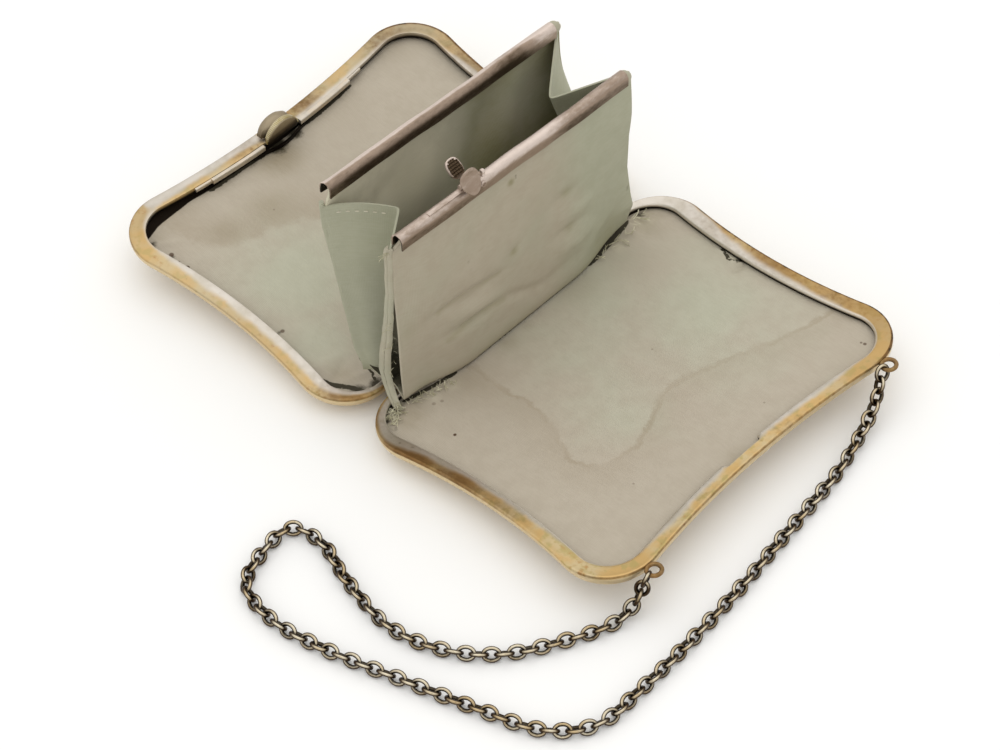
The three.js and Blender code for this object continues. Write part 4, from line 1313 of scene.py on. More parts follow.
def strip_fields(surface):
    """What the silk reads on the strip: its front wall shows its outside, and its back wall its inside."""
    x, along, z = surface.reshape(-1, 3).T
    outer = soft_step(x, 2, 5)
    green = outer * (0.3 + 0.6 * soft_step(along, 2, 26)) + (1 - outer) * 0.6
    crease_shade = 0.42 * np.exp(-line_distance(WALL_CREASE_SHADE, np.column_stack([along, z])) ** 2)
    # Darker towards the wall's foot, and painted shade along the creases.
    soil = outer * (0.5 * np.exp(-z / 3.5) + np.maximum(patches(WALL_SOIL_AND_CREASE_SHADE, along, z), crease_shade))
    streaky = 0.22 * np.sin(along / 5.2 + z / 9) * np.sin(z / 6.5 - along / 11 + 1)
    # Inside the pocket: soil and painted shade, darker low down and towards the far end.
    inner_soil_and_shade = 0.12 + streaky + 0.42 * soft_step(along, -18, 18) + 0.25 * (1 - soft_step(z, 16, 34))
    soil = soil + (1 - outer) * inner_soil_and_shade * soft_step(along, -34, -31)
    # A painted contact shadow along the wall's foot, and the wall's dark spots.
    grime = outer * (0.9 * np.exp(-((z + 0.5) / 0.4) ** 2) + patches(WALL_GRIME_AND_SHADE, along, z))
    # Painted shade inside the pocket's near end, low down.
    near_end_shade = (1 - outer) * (1 - soft_step(along, -32, -20)) * (1 - soft_step(z, 12, 24))
    # Painted light: the inside of the back wall is paler high up towards the near end.
    pale = (1 - outer) * (1 - soft_step(along, -22, 14)) * soft_step(z, 24, 38)
    fields = {"green": green, "soil": soil, "pale": pale}
    fields = {key: np.tile(values, 2) for key, values in fields.items()}
    fields["grime"] = np.concatenate([grime, grime + near_end_shade])
    return fields


def pocket_strip():
    corners = np.array([*FRONT_WALL, *POCKET_FLOOR, *BACK_WALL[::-1]])
    gaps = np.linalg.norm(np.diff(corners, axis=0), axis=1)
    counts = [max(4, math.ceil(gap / POCKET["row"])) for gap in gaps]
    section = spline(corners, counts, 0)
    ends = POCKET["middle_y"] - POCKET["half"], POCKET["middle_y"] + POCKET["half"]
    y = np.linspace(*ends, POCKET["columns"] + 1)
    surface = pocket_surface(section, y)
    shape, uv, flat = grid_sheet(surface, POCKET["thick"])
    fields = strip_fields(surface)
    made = piece("pocket_strip", shape, pocket_silk, "front", ["pocket_body"], fields, uv, 60)
    return made, flat


pocket, pocket_cut = pocket_strip()
print(f"pocket strip cut {pocket_cut[0]:.1f} by {pocket_cut[1]:.1f} mm")

# %% [markdown]
# # Gussets, seams and wrapped ends
# The pocket's ends are closed by silk gussets that fold inwards. Each is a sheet between the two walls
# whose middle is pushed in, with a turned hem along its top. Where wall and gusset meet, the seam shows as
# a roll of cloth, the near one made paler as a painted highlight, and at the near end it has opened at the
# foot, so a dark slit is left there, which is also painted as shade on the gusset. Small caps of silk wrap
# the far ends of the metal channels.

# %% Gussets
GUSSET = {
    "bottom": 2.7, "fold_bottom": 2.2, "sharp": 0.05, "seam": -0.1, "behind": 0.35,
    "thick": 0.3, "hem": 2.0, "hem_thick": 1.35, "columns": 72, "rows": 56,
}
NEAR_GUSSET, FAR_GUSSET = table(
    "name end fold edge_top fold_top bulge arch roll front_x",
    ("gusset_near", -1, 11, 43.4, 40.8, 0.5, 0.9, 0.8, (1.0, 0.7, 2.5, 3.9, 4.9)),
    ("gusset_far", 1, 12.5, 46.4, 41.6, 2.4, 0.2, 0.0, (3.4, 3.6, 4.6, 5.7, 6.2)),
)
# The heights at which front_x gives a gusset's front edge.
FRONT_EDGE_Z = (3, 9, 20, 30, 42)


def behind_back_wall(z):
    """Where a gusset's back edge meets the back wall at height z."""
    x, heights = np.array(BACK_WALL[::-1]).T
    return np.interp(z, heights, x) - GUSSET["behind"]


def gusset_surface(shape, u, v):
    """The gusset's middle surface, with u from the back wall to the front wall and v up its height."""
    u, v = np.asarray(u, float), np.asarray(v, float)
    sharp = GUSSET["sharp"]
    inward = 1 - np.sqrt((2 * u - 1) ** 2 + sharp**2) + sharp * (1 - np.abs(2 * u - 1))
    top = shape["edge_top"] + (shape["fold_top"] - shape["edge_top"]) * inward
    top = top + shape["arch"] * np.sin(math.pi * np.clip(2 * u, 0, 1))
    z = GUSSET["bottom"] + (top - GUSSET["bottom"]) * v
    depth = GUSSET["fold_bottom"] + (shape["fold"] - GUSSET["fold_bottom"]) * v
    belly = shape["bulge"] * np.sin(2 * math.pi * np.clip(u, 0, 0.5)) * soft_step(1 - v, 0.02, 0.4)
    y = POCKET["middle_y"] + shape["end"] * (POCKET["half"] - GUSSET["seam"] - inward * depth + belly)
    back = behind_back_wall(z)
    front = np.interp(z, FRONT_EDGE_Z, shape["front_x"])
    roll = shape["roll"] * np.exp(-((u / 0.07) ** 2))
    return np.stack([back + (front - back) * u - 0.4 * roll, y + shape["end"] * roll, lean(z, y)], axis=-1)


def gusset(shape):
    u = np.linspace(0, 1, GUSSET["columns"] + 1)[None, :]
    v = np.linspace(0, 1, GUSSET["rows"] + 1)[:, None]
    surface = gusset_surface(shape, *np.broadcast_arrays(u, v))
    hem_from = 1 - GUSSET["hem"] / (shape["edge_top"] - GUSSET["bottom"])
    thick = np.where(v > hem_from, GUSSET["hem_thick"], 1.0)[..., None] * GUSSET["thick"]
    cloth, uv, flat = grid_sheet(surface, thick)
    u_all, v_all = (grid.ravel() for grid in np.broadcast_arrays(u, v))
    # Darker at the foot and along the front edge: soil and painted shade.
    soil = 0.5 * np.exp(-v_all / 0.12) + 0.15 * np.exp(-(1 - u_all) / 0.08)
    # Painted shade where the near seam has opened into a slit.
    slit_shade = 1.1 * soft_step(u_all, 0.55, 0.7) * (1 - soft_step(v_all, 0.5, 0.8)) * (shape["end"] < 0)
    fields = {"green": np.full(2 * len(u_all), 0.95), "soil": np.tile(soil, 2), "grime": np.tile(slit_shade, 2)}
    name, node = shape["name"] + "_silk", shape["name"]
    made = piece(name, cloth, pocket_silk, "front", [node], fields, uv, 60)
    return made, flat


near_gusset, near_cut = gusset(NEAR_GUSSET)
far_gusset, far_cut = gusset(FAR_GUSSET)
print(f"gussets cut {near_cut[0]:.1f} and {far_cut[0]:.1f} mm wide")

# %% Seams and caps
# The near seam's flap beside the front wall: height, and x of its two edges.
NEAR_FLAP = {
    "z": (-0.9, 1, 3, 6, 10, 20, 30, 38, 42.5, 44.2),
    "left": (2.6, 0.6, -1.2, -1.8, -1.2, 0.9, 2.6, 3.2, 3.4, 4.3),
    "right": (5.4, 3.5, 2.0, 1.3, 1.7, 3.3, 4.5, 5, 5.3, 5.6),
    "y": -33.9, "crown": 0.8, "groove": 0.2, "groove_at": 0.62, "tail": 1.2, "thick": 0.4,
    "rows": 90, "columns": 26,
}
# The rolled seams down the back wall's end edges; the near one's negative soil makes it paler, a painted
# highlight.
BACK_SEAMS = table(
    "name y top radius soil green",
    ("near_back_seam", -34.4, 44.4, 0.5, -0.4, 0.95), ("far_back_seam", 32.05, 46.0, 0.25, 0.0, 0.8),
)
SEAM_FOOT = 4.5
CAPS = table(
    "x y z size",
    (6.7, 30.2, 45.0, (1.35, 1.7, 1.55)), (-13, 30.3, 46.1, (1.35, 2.0, 1.45)),
)


def near_flap():
    z = np.linspace(NEAR_FLAP["z"][0], NEAR_FLAP["z"][-1], NEAR_FLAP["rows"])[:, None]
    t = np.linspace(0, 1, NEAR_FLAP["columns"])[None, :]
    left = np.interp(z, NEAR_FLAP["z"], NEAR_FLAP["left"])
    right = np.interp(z, NEAR_FLAP["z"], NEAR_FLAP["right"])
    wobble = 0.03 * np.sin(z * 1.9) + 0.06 * np.sin(z * 0.83 + 1)
    groove = NEAR_FLAP["groove"] * np.exp(-(((t - NEAR_FLAP["groove_at"]) / 0.09) ** 2))
    y = NEAR_FLAP["y"] - NEAR_FLAP["crown"] * np.sin(math.pi * t) ** 0.7 + groove
    y = y - NEAR_FLAP["tail"] * (1 - soft_step(z, -0.9, 4))
    x = left + (right - left) * t + wobble
    return np.stack([x, y, lean(z + 0 * t, y)], axis=-1)


def silk_trim(name, shape, soil, green, grime=0.0):
    """A small piece of the pocket's silk."""
    points = shape[0]
    fields = {"green": green, "soil": soil, "grime": grime}
    fields = {key: np.broadcast_to(value, len(points)) for key, value in fields.items()}
    return piece(name, shape, pocket_silk, "front", fields=fields, uv=points[:, 1:], crease=70)


def wall_seam(row, steps=60):
    """A rolled seam down the back wall's end edge."""
    z = np.linspace(row["top"], SEAM_FOOT, steps)
    x = behind_back_wall(z) - row["radius"] * 0.6
    wobble = 0.05 * np.sin(z * 0.9) + 0.03 * np.sin(z * 2.3)
    path = np.stack([x + wobble, np.full_like(z, row["y"]), lean(z, row["y"])], axis=1)
    thick = row["radius"] * (0.65 + 0.35 * soft_step(z, 5, 20))
    return tube(path, thick, 14, up=(0, 1, 0))


def rounded_cap(row, rings=14, sides=22):
    rows = []
    for angle in np.linspace(0.02, math.pi - 0.02, rings):
        turn = np.linspace(0, 2 * math.pi, sides, endpoint=False)
        ring = np.sin(angle) * np.stack([np.cos(turn), 0 * turn, np.sin(turn)], axis=1)
        ring[:, 1] = np.cos(angle)
        pleat = 1 + 0.05 * np.sin(5 * turn + 2 * angle)[:, None]
        rows.append(ring * np.array(row["size"]) * pleat + (row["x"], row["y"], row["z"]))
    return lofted(rows)


flap_across = np.tile(np.linspace(0, 1, NEAR_FLAP["columns"]), 2 * NEAR_FLAP["rows"])
# Painted shade along the flap's groove.
flap_groove_shade = 0.75 * np.exp(-(((flap_across - NEAR_FLAP["groove_at"]) / 0.05) ** 2))
flap = grid_sheet(near_flap(), NEAR_FLAP["thick"])[0]
near_flap_seam = silk_trim("near_seam_flap", flap, soil=-0.1, green=0.5, grime=flap_groove_shade)
near_roll, far_roll = [
    silk_trim(row["name"], wall_seam(row), row["soil"], row["green"]) for row in BACK_SEAMS
]
caps = silk_trim("channel_end_caps", joined(*[rounded_cap(row) for row in CAPS]), soil=0.2, green=0.5)
[side * MM for side in pocket_cut]
for made, cut, trims in (
    (near_gusset, near_cut, [near_flap_seam, near_roll]),
    (far_gusset, far_cut, [far_roll]),
):
    [side * MM for side in cut]

# %% [markdown]
# # The pocket's silver channels and catch
# The pocket's mouth is clamped into two thin silver channels, bent from strip, open at the near end where
# the cloth has slipped back. They are lofts of a U section with slight dents. On the front channel a small
# catch turns on a pin between two ears: a leaf-shaped tab to press, an arm, and a knurled plate that hooks
# behind the back channel.

# %% Tarnished silver
PINK_SILVER = tint(214, 200, 190)
ROSY_BROWN = tint(158, 140, 124)
TARNISH = tint(88, 74, 58)
BLACKENED = tint(34, 28, 20)


def tarnished(name, bright, dull, dark):
    finish = Finish(name, Metallic=1.0)
    where = finish.millimetres()
    cloud = finish.noise(finish.stretched(where, (1.0, 0.25, 1.0)), 2.6, 4, 0.6)
    fleck = finish.noise(finish.stretched(where, (1.0, 0.4, 1.0)), 0.7, 4, 0.65)
    # The tarnish field also carries painted shade and painted highlights, set on each channel and on the
    # clasp.
    patina_and_light = finish.field("tarnish") + cloud.sway(0.45) + fleck.sway(0.35)
    colour = finish.mix(finish.step(patina_and_light, 0.0, 0.4), bright, dull)
    colour = finish.mix(finish.step(patina_and_light, 0.4, 0.85), colour, dark)
    colour = finish.mix(finish.step(patina_and_light, 0.85, 1.15), colour, BLACKENED)
    finish.set(Base_Color=colour, Roughness=0.4 + fleck * 0.22)
    finish.bump(fleck, 0.025)
    return finish.material


pocket_silver = tarnished("pocket_silver", PINK_SILVER, ROSY_BROWN, TARNISH)
print("tarnished silver ready")

# %% Channels
CHANNEL = {"half": 1.4, "side": 1.7, "wall": 0.34, "near": -32.6, "far": 31.2, "steps": 150, "arc": 16}
# The catch's pin: where along the front channel it lies, how high above it, and how far off its ears stand.
CATCH = {"y": -12.2, "pin": 2.2, "ears": 2.95}


def rim_place(wall, lift=0.15):
    """Where a channel sits on the top of a wall: its middle, and its slope along the hinge."""
    x, z = wall[0]
    return {"x": x, "z": z + lift, "turn": -math.atan(POCKET["taper"] * z)}


FRONT_RIM_PLACE = rim_place(FRONT_WALL)
BACK_RIM_PLACE = rim_place(BACK_WALL)


def on_rim(rim, points):
    """Points laid out about a level channel, where that channel stands."""
    x, y, z = np.moveaxis(np.asarray(points, float), -1, 0)
    c, s = math.cos(rim["turn"]), math.sin(rim["turn"])
    return np.stack([x + rim["x"], y * c - z * s + POCKET["middle_y"], y * s + z * c + rim["z"]], axis=-1)


def channel_section(half, side):
    turn = np.linspace(0, math.pi, CHANNEL["arc"] + 1)
    arc = np.stack([half * np.cos(turn), half * np.sin(turn)], axis=1)
    return np.concatenate([[(half, -side), (half, -side / 2)], arc, [(-half, -side / 2), (-half, -side)]])


def channel(seed):
    """The U section swept along the channel, with shallow dents and a flared near end."""
    chance = np.random.default_rng(seed)
    phase = chance.uniform(0, 6.28, 4)
    rows = []
    for y in np.linspace(CHANNEL["near"], CHANNEL["far"], CHANNEL["steps"] + 1):
        flare = 1 + 0.1 * math.exp(-(y - CHANNEL["near"]) / 0.7)
        outer = channel_section(CHANNEL["half"] * flare, CHANNEL["side"])
        inner = channel_section(CHANNEL["half"] * flare - CHANNEL["wall"], CHANNEL["side"])
        section = np.concatenate([outer, inner[::-1]])
        bend = 0.07 * math.sin(y / 5.3 + phase[0]) + 0.04 * math.sin(y / 2.1 + phase[1])
        sag = 0.06 * math.sin(y / 7.7 + phase[2]) + 0.03 * math.sin(y / 1.7 + phase[3])
        rows.append(np.column_stack([section[:, 0] + bend, np.full(len(section), y), section[:, 1] + sag]))
    return lofted(rows)


def ring_ear(y, thick=0.8, radius=0.55):
    """An ear that stands on the channel, with its round top about the catch's pin."""
    turn = np.linspace(-0.25 * math.pi, 1.25 * math.pi, 22)
    outline = np.stack([radius * np.cos(turn), CATCH["pin"] + radius * np.sin(turn)], axis=1)
    outline = np.concatenate([outline, [(-0.7, 1.0), (0.7, 1.0)]])
    middle = (0, 2.0)
    end, flat = thick / 2, thick / 2 - 0.1
    rows = []
    for at, scale in ((-end, 0.86), (-flat, 1.0), (flat, 1.0), (end, 0.86)):
        around = (outline - middle) * scale + middle
        rows.append(np.column_stack([around[:, 0], np.full(len(around), y + at), around[:, 1]]))
    return lofted(rows)


def spring_strip(y_from=-24.4, y_to=-15.0, half=0.5, thick=0.14):
    """The thin spring that lies along the front channel's top and lifts to the catch."""
    rows = []
    for t in np.linspace(0, 1, 24):
        y = y_from + (y_to - y_from) * t
        z = CHANNEL["half"] - 0.02 + 0.2 * t**3
        rows.append([(0.25 + x, y, z + h) for x, h in ((-half, 0), (half, 0), (half, thick), (-half, thick))])
    return lofted(rows)


RIVET = {"place": (1.4, CATCH["y"] + 1.9, 0.4), "ring": 0.6, "wire": 0.24}
ears = [ring_ear(CATCH["y"] + end * CATCH["ears"]) for end in (-1, 1)]
rivet = ring_of_wire(RIVET["place"], RIVET["ring"], RIVET["wire"], axis=0, steps=24, sides=10)
front_metal = joined(channel(5), *ears, spring_strip(), rivet)


def pocket_rim(name, place, shape, node):
    points, faces = shape
    x, y, z = points.T
    # Lower down the channel is darker: tarnish and painted shade.
    low = soft_step(-z, -1.0, 0.4)
    if place["x"] > 0:
        # The front channel is left clean in its middle, a painted highlight.
        tarnish = 0.02 + 0.42 * low + 0.2 * (1 - soft_step(y, -14, -7)) + 0.3 * soft_step(y, 6, 16)
    else:
        # A painted highlight line along the back channel's upper inner edge.
        lit = (1 - soft_step(x, -0.25, 0.4)) * soft_step(z, 0.3, 0.9)
        tarnish = 0.52 + 0.2 * low - 0.52 * lit + 0.1 * soft_step(y, 8, 18) - 0.5 * soft_step(y, 20, 28)
    # The inner faces of the U are made black.
    inner = (np.hypot(x, np.maximum(z, 0)) < CHANNEL["half"] - 0.2) & (z < CHANNEL["half"] - 0.15)
    tarnish = np.where(inner, 1.6, tarnish)
    fields = {"tarnish": tarnish}
    piece(name, (on_rim(place, points), faces), pocket_silver, "front", [node], fields)


pocket_rim("rim_front_channel", FRONT_RIM_PLACE, front_metal, "rim_front")
pocket_rim("rim_back_channel", BACK_RIM_PLACE, channel(11), "rim_back")

# %% Plates and the catch
def plate(outline, x_from, x_to, ease=0.12, rings=5):
    """A flat plate with softened edges: an outline in y and z, between two x."""
    outline = np.asarray(outline, float)
    centre = outline.mean(axis=0)
    reach = np.linalg.norm(outline - centre, axis=1).mean()
    scales = np.linspace(0.06, 1 - ease / reach, rings)
    rows = [(x_from, scale) for scale in scales] + [(x_from + ease, 1.0), (x_to - ease, 1.0)]
    rows += [(x_to, scale) for scale in scales[::-1]]
    made = []
    for x, scale in rows:
        around = centre + (outline - centre) * scale
        made.append(np.column_stack([np.full(len(around), x), around]))
    return lofted(made)


HOOK = {
    "x": -5.0, "z": -0.1, "thick": 0.7, "half_y": 1.75, "half_z": 2.15, "power": 2.6, "steps": 84,
    "knurl": 0.2, "pitch": 0.62,
}
HOOK_TILT = math.radians(48)
TAB = {"half": 2.5, "top": 4.2, "bottom": -1.3, "thick": 0.55, "shift": -1.5, "flare": 1.9}


def leaf_tab():
    t = np.linspace(0, 2 * math.pi, 56, endpoint=False)
    middle, tall = (TAB["top"] + TAB["bottom"]) / 2, (TAB["top"] - TAB["bottom"]) / 2
    z = middle + tall * np.sin(t)
    narrow = 0.78 + 0.22 * np.sin(math.pi * soft_step(z, TAB["bottom"] - 1, TAB["top"] + 2))
    points, faces = plate(np.stack([TAB["half"] * np.cos(t) * narrow, z], axis=1), 0, TAB["thick"], 0.2, 7)
    # The foot stands out from the channel, so it has room to swing in when the tab is pressed.
    flare = TAB["flare"] * soft_step(-points[:, 2], -3.4, 1.5)
    points[:, 0] += 0.3 + flare + 0.2 * np.cos(points[:, 1] * 0.7)
    points[:, 1] += TAB["shift"]
    return points, faces


def hook_outline():
    """A rounded oblong, in y and z."""
    turn = np.linspace(0, 2 * math.pi, HOOK["steps"], endpoint=False)
    c, s = (np.sign(wave) * np.abs(wave) ** (2 / HOOK["power"]) for wave in (np.cos(turn), np.sin(turn)))
    return np.stack([HOOK["half_y"] * c, HOOK["z"] + HOOK["half_z"] * s], axis=1)


def out_on_hook(y, z):
    """How far out on the hook's plate a point lies: 0 in its middle and 1 on its outline."""
    return (np.abs(y) / HOOK["half_y"]) ** HOOK["power"] + (np.abs(z) / HOOK["half_z"]) ** HOOK["power"]


def hook_plate():
    points, faces = plate(hook_outline(), HOOK["x"], HOOK["x"] + HOOK["thick"], 0.15, 17)
    y, z = points[:, 1], points[:, 2]
    turn = 2 * math.pi / HOOK["pitch"]
    bumps = np.sin(turn * (y + z) / 2) * np.sin(turn * (y - z) / 2)
    face = points[:, 0] > HOOK["x"] + HOOK["thick"] - 0.01
    inner = out_on_hook(y, z - HOOK["z"]) < 0.62
    points[:, 0] += HOOK["knurl"] * np.where(face & inner, bumps - 0.6, 0)
    x = points[:, 0] - HOOK["x"] - HOOK["thick"] / 2
    z = points[:, 2].copy()
    c, s = math.cos(HOOK_TILT), math.sin(HOOK_TILT)
    points[:, 0] = HOOK["x"] + HOOK["thick"] / 2 + x * c - z * s
    points[:, 2] = x * s + z * c
    return points, faces


def catch():
    arm = tube([(0.2, 0, -0.1), (-1.4, 0, -0.3), (-2.5, 0, -0.8), (-3.4, 0, -1.4)], 1.1, 16, 0.28)
    barrel = tube([(0, y, 0) for y in np.linspace(-2.2, 2.2, 7)], 0.5, 18)
    parts = {"tab": leaf_tab(), "hook": hook_plate(), "arm": arm, "barrel": barrel}
    tarnish = {"tab": 0.32, "hook": 0.85, "arm": 0.6, "barrel": 0.5}
    points, faces = joined(*parts.values())
    values = np.concatenate([np.full(len(parts[key][0]), tarnish[key]) for key in parts])
    hook_from = len(parts["tab"][0])
    hook = slice(hook_from, hook_from + len(parts["hook"][0]))
    edge = out_on_hook(points[hook, 1], points[hook, 2] / math.cos(HOOK_TILT)) > 0.7
    values[hook] = np.where(edge, 0.15, tarnish["hook"])
    points = on_rim(FRONT_RIM_PLACE, points + (0, CATCH["y"], CATCH["pin"]))
    piece(
        "pocket_catch_metal", (points, faces), pocket_silver, "catch", ["pocket_catch"],
        {"tarnish": values}, crease=45,
    )


catch()

# %% [markdown]
# # The clasp, its spring and the pin
# The clasp is pressed to free the closed covers: a milled half-disc and a rounded thumb-piece on one tongue
# that slides through the back rim. Beside it a dark steel leaf spring bows towards the lining. All of it is
# laid out in the back cover's own frame, so that it tilts with the cover.

# %% Clasp
CLASP = {"y": 1.2, "lift": 0.65, "radius": 4.4}
# The clasp's plates: where each starts and ends, how its edges are eased, and its tarnish above and at its
# foot, where the darker foot is also painted shade.
CLASP_PLATES = table(
    "name from to ease rings tarnish foot",
    ("disc", 64.3, 65.7, 0.15, 9, 0.2, 0.95), ("thumb", 66.3, 68.6, 0.6, 9, 0.3, 0.4),
    ("tongue", 65.9, 66.9, 0.12, 5, 1.4, 0.9), ("stem", 65.6, 66.4, 0.12, 5, 1.4, 0.9),
)
THUMB_FLAT = 0.78
TONGUE = {"half": 1.2, "low": -1.5, "high": 2.65}
STEM = {"half": 2, "low": CLASP["lift"], "high": CLASP["lift"] + 2}


def half_disc(flat=1.0, steps=40, ends=0.35):
    """The upper half of a disc, with its foot corners a little rounded."""
    radius = CLASP["radius"]
    turn = np.linspace(ends * 0.3, math.pi - ends * 0.3, steps)
    arc = np.stack([radius * np.cos(turn), radius * flat * np.sin(turn)], axis=1)
    foot = np.stack([np.linspace(-radius + ends, radius - ends, 12), np.zeros(12)], axis=1)
    return np.concatenate([arc, foot]) + (CLASP["y"], CLASP["lift"])


def box_outline(box):
    left, right = CLASP["y"] - box["half"], CLASP["y"] + box["half"]
    return [(left, box["low"]), (right, box["low"]), (right, box["high"]), (left, box["high"])]


def clasp():
    outlines = {
        "disc": half_disc(), "thumb": half_disc(THUMB_FLAT),
        "tongue": box_outline(TONGUE), "stem": box_outline(STEM),
    }
    plates = [
        plate(outlines[row["name"]], row["from"], row["to"], row["ease"], row["rings"])
        for row in CLASP_PLATES
    ]
    points, faces = joined(*plates)
    counts = [len(shape[0]) for shape in plates]
    tarnish, foot = (np.repeat([row[key] for row in CLASP_PLATES], counts) for key in ("tarnish", "foot"))
    # Each plate darkens towards its foot: tarnish and painted shade.
    fields = {"tarnish": tarnish + foot * (1 - soft_step(points[:, 2], 0.9, 4.4))}
    shape = on_cover(-1, points), faces
    piece("clasp_push", shape, clasp_patina, "clasp", ["clasp_button"], fields)


def milled_tree():
    tree = Growth("milled_ridges", Count=34, Width=0.22 * MM, Depth=1.1 * MM, Height=0.22 * MM)
    size = tree.triple(tree.size("Width"), tree.size("Depth"), tree.size("Height"))
    ridge = tree.node("GeometryNodeMeshCube", {}, {"Size": size})
    return tree.end(tree.set_on(tree.spaced("Count"), ridge, Rotation=tree.turned_along()), ridge_gold)


def milled_gold():
    finish = Finish("ridge_gold", Metallic=1.0, Roughness=0.32)
    cloud = finish.noise(finish.millimetres(), 1.2, 3)
    finish.set(Base_Color=finish.mix(finish.step(cloud, 0.4, 0.75), tint(204, 192, 156), OLIVE_GOLD))
    return finish.material


def milled_arc(steps=60, ends=0.12):
    """The disc's rim, where its ridges stand."""
    disc = CLASP_PLATES[0]
    turn = np.linspace(ends, math.pi - ends, steps)
    y, z = CLASP["radius"] * np.cos(turn), CLASP["radius"] * np.sin(turn)
    x = np.full(steps, (disc["from"] + disc["to"]) / 2)
    return np.stack([x, CLASP["y"] + y, CLASP["lift"] + z], axis=1)


ridge_gold = milled_gold()
clasp_patina = tarnished("clasp_patina", tint(188, 175, 148), tint(156, 143, 120), tint(92, 79, 62))
clasp()
grown("clasp_milling", on_cover(-1, milled_arc()), milled_tree(), "clasp", "gilt_silver", crease=30)

# %% Spring and pin
SPRING = {"from": -7, "to": 9.5, "ends": 65.2, "middle": 63.9, "leaf": 0.5, "low": -1.5, "high": -0.8}


def leaf_spring(steps=48):
    rows = []
    for t in np.linspace(0, 1, steps + 1):
        y = SPRING["from"] + (SPRING["to"] - SPRING["from"]) * t
        x = SPRING["ends"] + (SPRING["middle"] - SPRING["ends"]) * math.sin(math.pi * t) ** 2
        inner, low, high = x - SPRING["leaf"], SPRING["low"], SPRING["high"]
        rows.append([(x, y, low), (x, y, high), (inner, y, high), (inner, y, low)])
    return lofted(rows)


def dark_steel():
    finish = Finish("dark_steel", Metallic=1.0)
    fleck = finish.noise(finish.millimetres(), 0.7, 4, 0.6)
    finish.set(Base_Color=finish.mix(fleck, tint(16, 13, 11), tint(44, 37, 30)), Roughness=0.42 + fleck * 0.2)
    return finish.material


steel = dark_steel()
spring_points, spring_faces = leaf_spring()
spring_shape = on_cover(-1, spring_points), spring_faces
piece("clasp_leaf_spring", spring_shape, steel, "back", ["clasp_spring"])
pin = frame["nodes"]["hinge_pin"]
pin.data.materials.clear()
pin.data.materials.append(steel)
print("spring and pin finished")

# %% [markdown]
# # The carrying chain
# The chain lies slack on the table from one loop to the other. Its path is a smooth curve through a few
# points, and the links are grown along it: each is a wire ring, rolled a quarter turn from the last, with a
# little chance in its roll so that it doesn't look machined. A rigid-body chain could fall into place, but
# then it would not lie where this one does.

# %% Chain
CHAIN = {"long": 4.1, "wide": 3.3, "wire": 0.84, "pitch": 2.42, "lie": 1.47}
# Links carry a painted highlight on the side turned up towards the camera, and painted shade on the others.
HIGHLIGHT_SIDE = (0.36, -0.34, 0.87)
# The chain's path from the far loop to the near loop: x, y, and z where it hangs clear of the table.
CHAIN_PATH = (
    (73.6, 32.6, 4.3), (75.2, 28.4, -0.9), (76.6, 23.5, -2.7), (78, 18, -3.6), (79.2, 13), (82, -7),
    (84, -22), (85.4, -38), (86, -52), (85.4, -64), (79, -71.5), (66, -76.5), (50, -81.5), (35, -86),
    (22, -88), (12.4, -85.6), (8.8, -78), (8.6, -70), (15.5, -68.4), (26, -71.6), (40, -74), (51, -71.3),
    (60.5, -64.5), (68, -53), (71.4, -45.5), (72.2, -42, -3.4), (72.5, -39.2, -1.6), (73.3, -36.9, 3.9),
)


def chain_bronze():
    finish = Finish("chain_bronze", Metallic=1.0)
    where = finish.millimetres()
    cloud = finish.noise(where, 5, 3)
    fleck = finish.noise(where, 0.6, 3, 0.6)
    colour = finish.mix(finish.step(cloud, 0.35, 0.65), tint(186, 166, 130), tint(214, 204, 180))
    colour = finish.mix(finish.step(fleck, 0.5, 0.75) * 0.5, colour, tint(110, 88, 60))
    # Painted highlight on the side that faces the camera, and painted shade on the other sides.
    patina_and_light = finish.step(finish.field("top") + fleck.sway(0.3), 0.68, 0.95)
    colour = finish.mix(1 - patina_and_light, colour, tint(66, 50, 34))
    # Painted shade on the inner side of each link, where the links cross.
    hollow = finish.step(finish.field("hollow") + fleck.sway(0.4), 0.45, 0.8)
    colour = finish.mix(hollow * 0.9, colour, tint(26, 19, 13))
    finish.set(Base_Color=colour, Roughness=0.26 + fleck * 0.2)
    return finish.material


def link_tree():
    tree = Growth(
        "chain_links", Pitch=CHAIN["pitch"] * MM, Long=CHAIN["long"] * MM, Wide=CHAIN["wide"] * MM,
        Wire=CHAIN["wire"] * MM, Roll=math.radians(45), Chance=math.radians(9), Seed=7,
    )
    wire = tree.size("Wire")
    across, along = tree.size("Wide") - wire, tree.size("Long") - wire
    ring = tree.circle(26, across * 0.5)
    ring = tree.node("GeometryNodeTransform", {}, {0: ring, "Scale": tree.triple(along / across, 1.0, 1.0)})
    inputs = {"Curve": ring, "Profile Curve": tree.circle(10, wire * 0.5)}
    link = tree.node("GeometryNodeCurveToMesh", {}, inputs)
    place = tree.node("GeometryNodeInputPosition")
    place = tree.vectors("MULTIPLY", place, tree.triple(across / along, 1.0, 0.0))
    radius = tree.node("ShaderNodeVectorMath", {"operation": "LENGTH"}, {0: place}, output="Value")
    # How far in towards the link's hole each point lies, for its painted shade.
    link = tree.stored(link, "hollow", 0.5 - (radius - across * 0.5) / wire)
    other = (tree.node("GeometryNodeInputIndex") % 2.0) * 2.0 - 1.0
    roll = other * tree.size("Roll") + tree.give_or_take(tree.size("Chance"), tree.size("Seed"))
    turn = tree.rolled(tree.turned_along(), (1, 0, 0), roll)
    links = tree.set_on(tree.spaced("Pitch"), link, Rotation=turn)
    links = tree.node("GeometryNodeRealizeInstances", {}, {0: links})
    # How much each point faces the camera, for the painted highlight.
    top = tree.vectors("DOT_PRODUCT", tree.node("GeometryNodeInputNormal"), HIGHLIGHT_SIDE, "Value")
    return tree.end(tree.stored(links, "top", top), chain_metal)


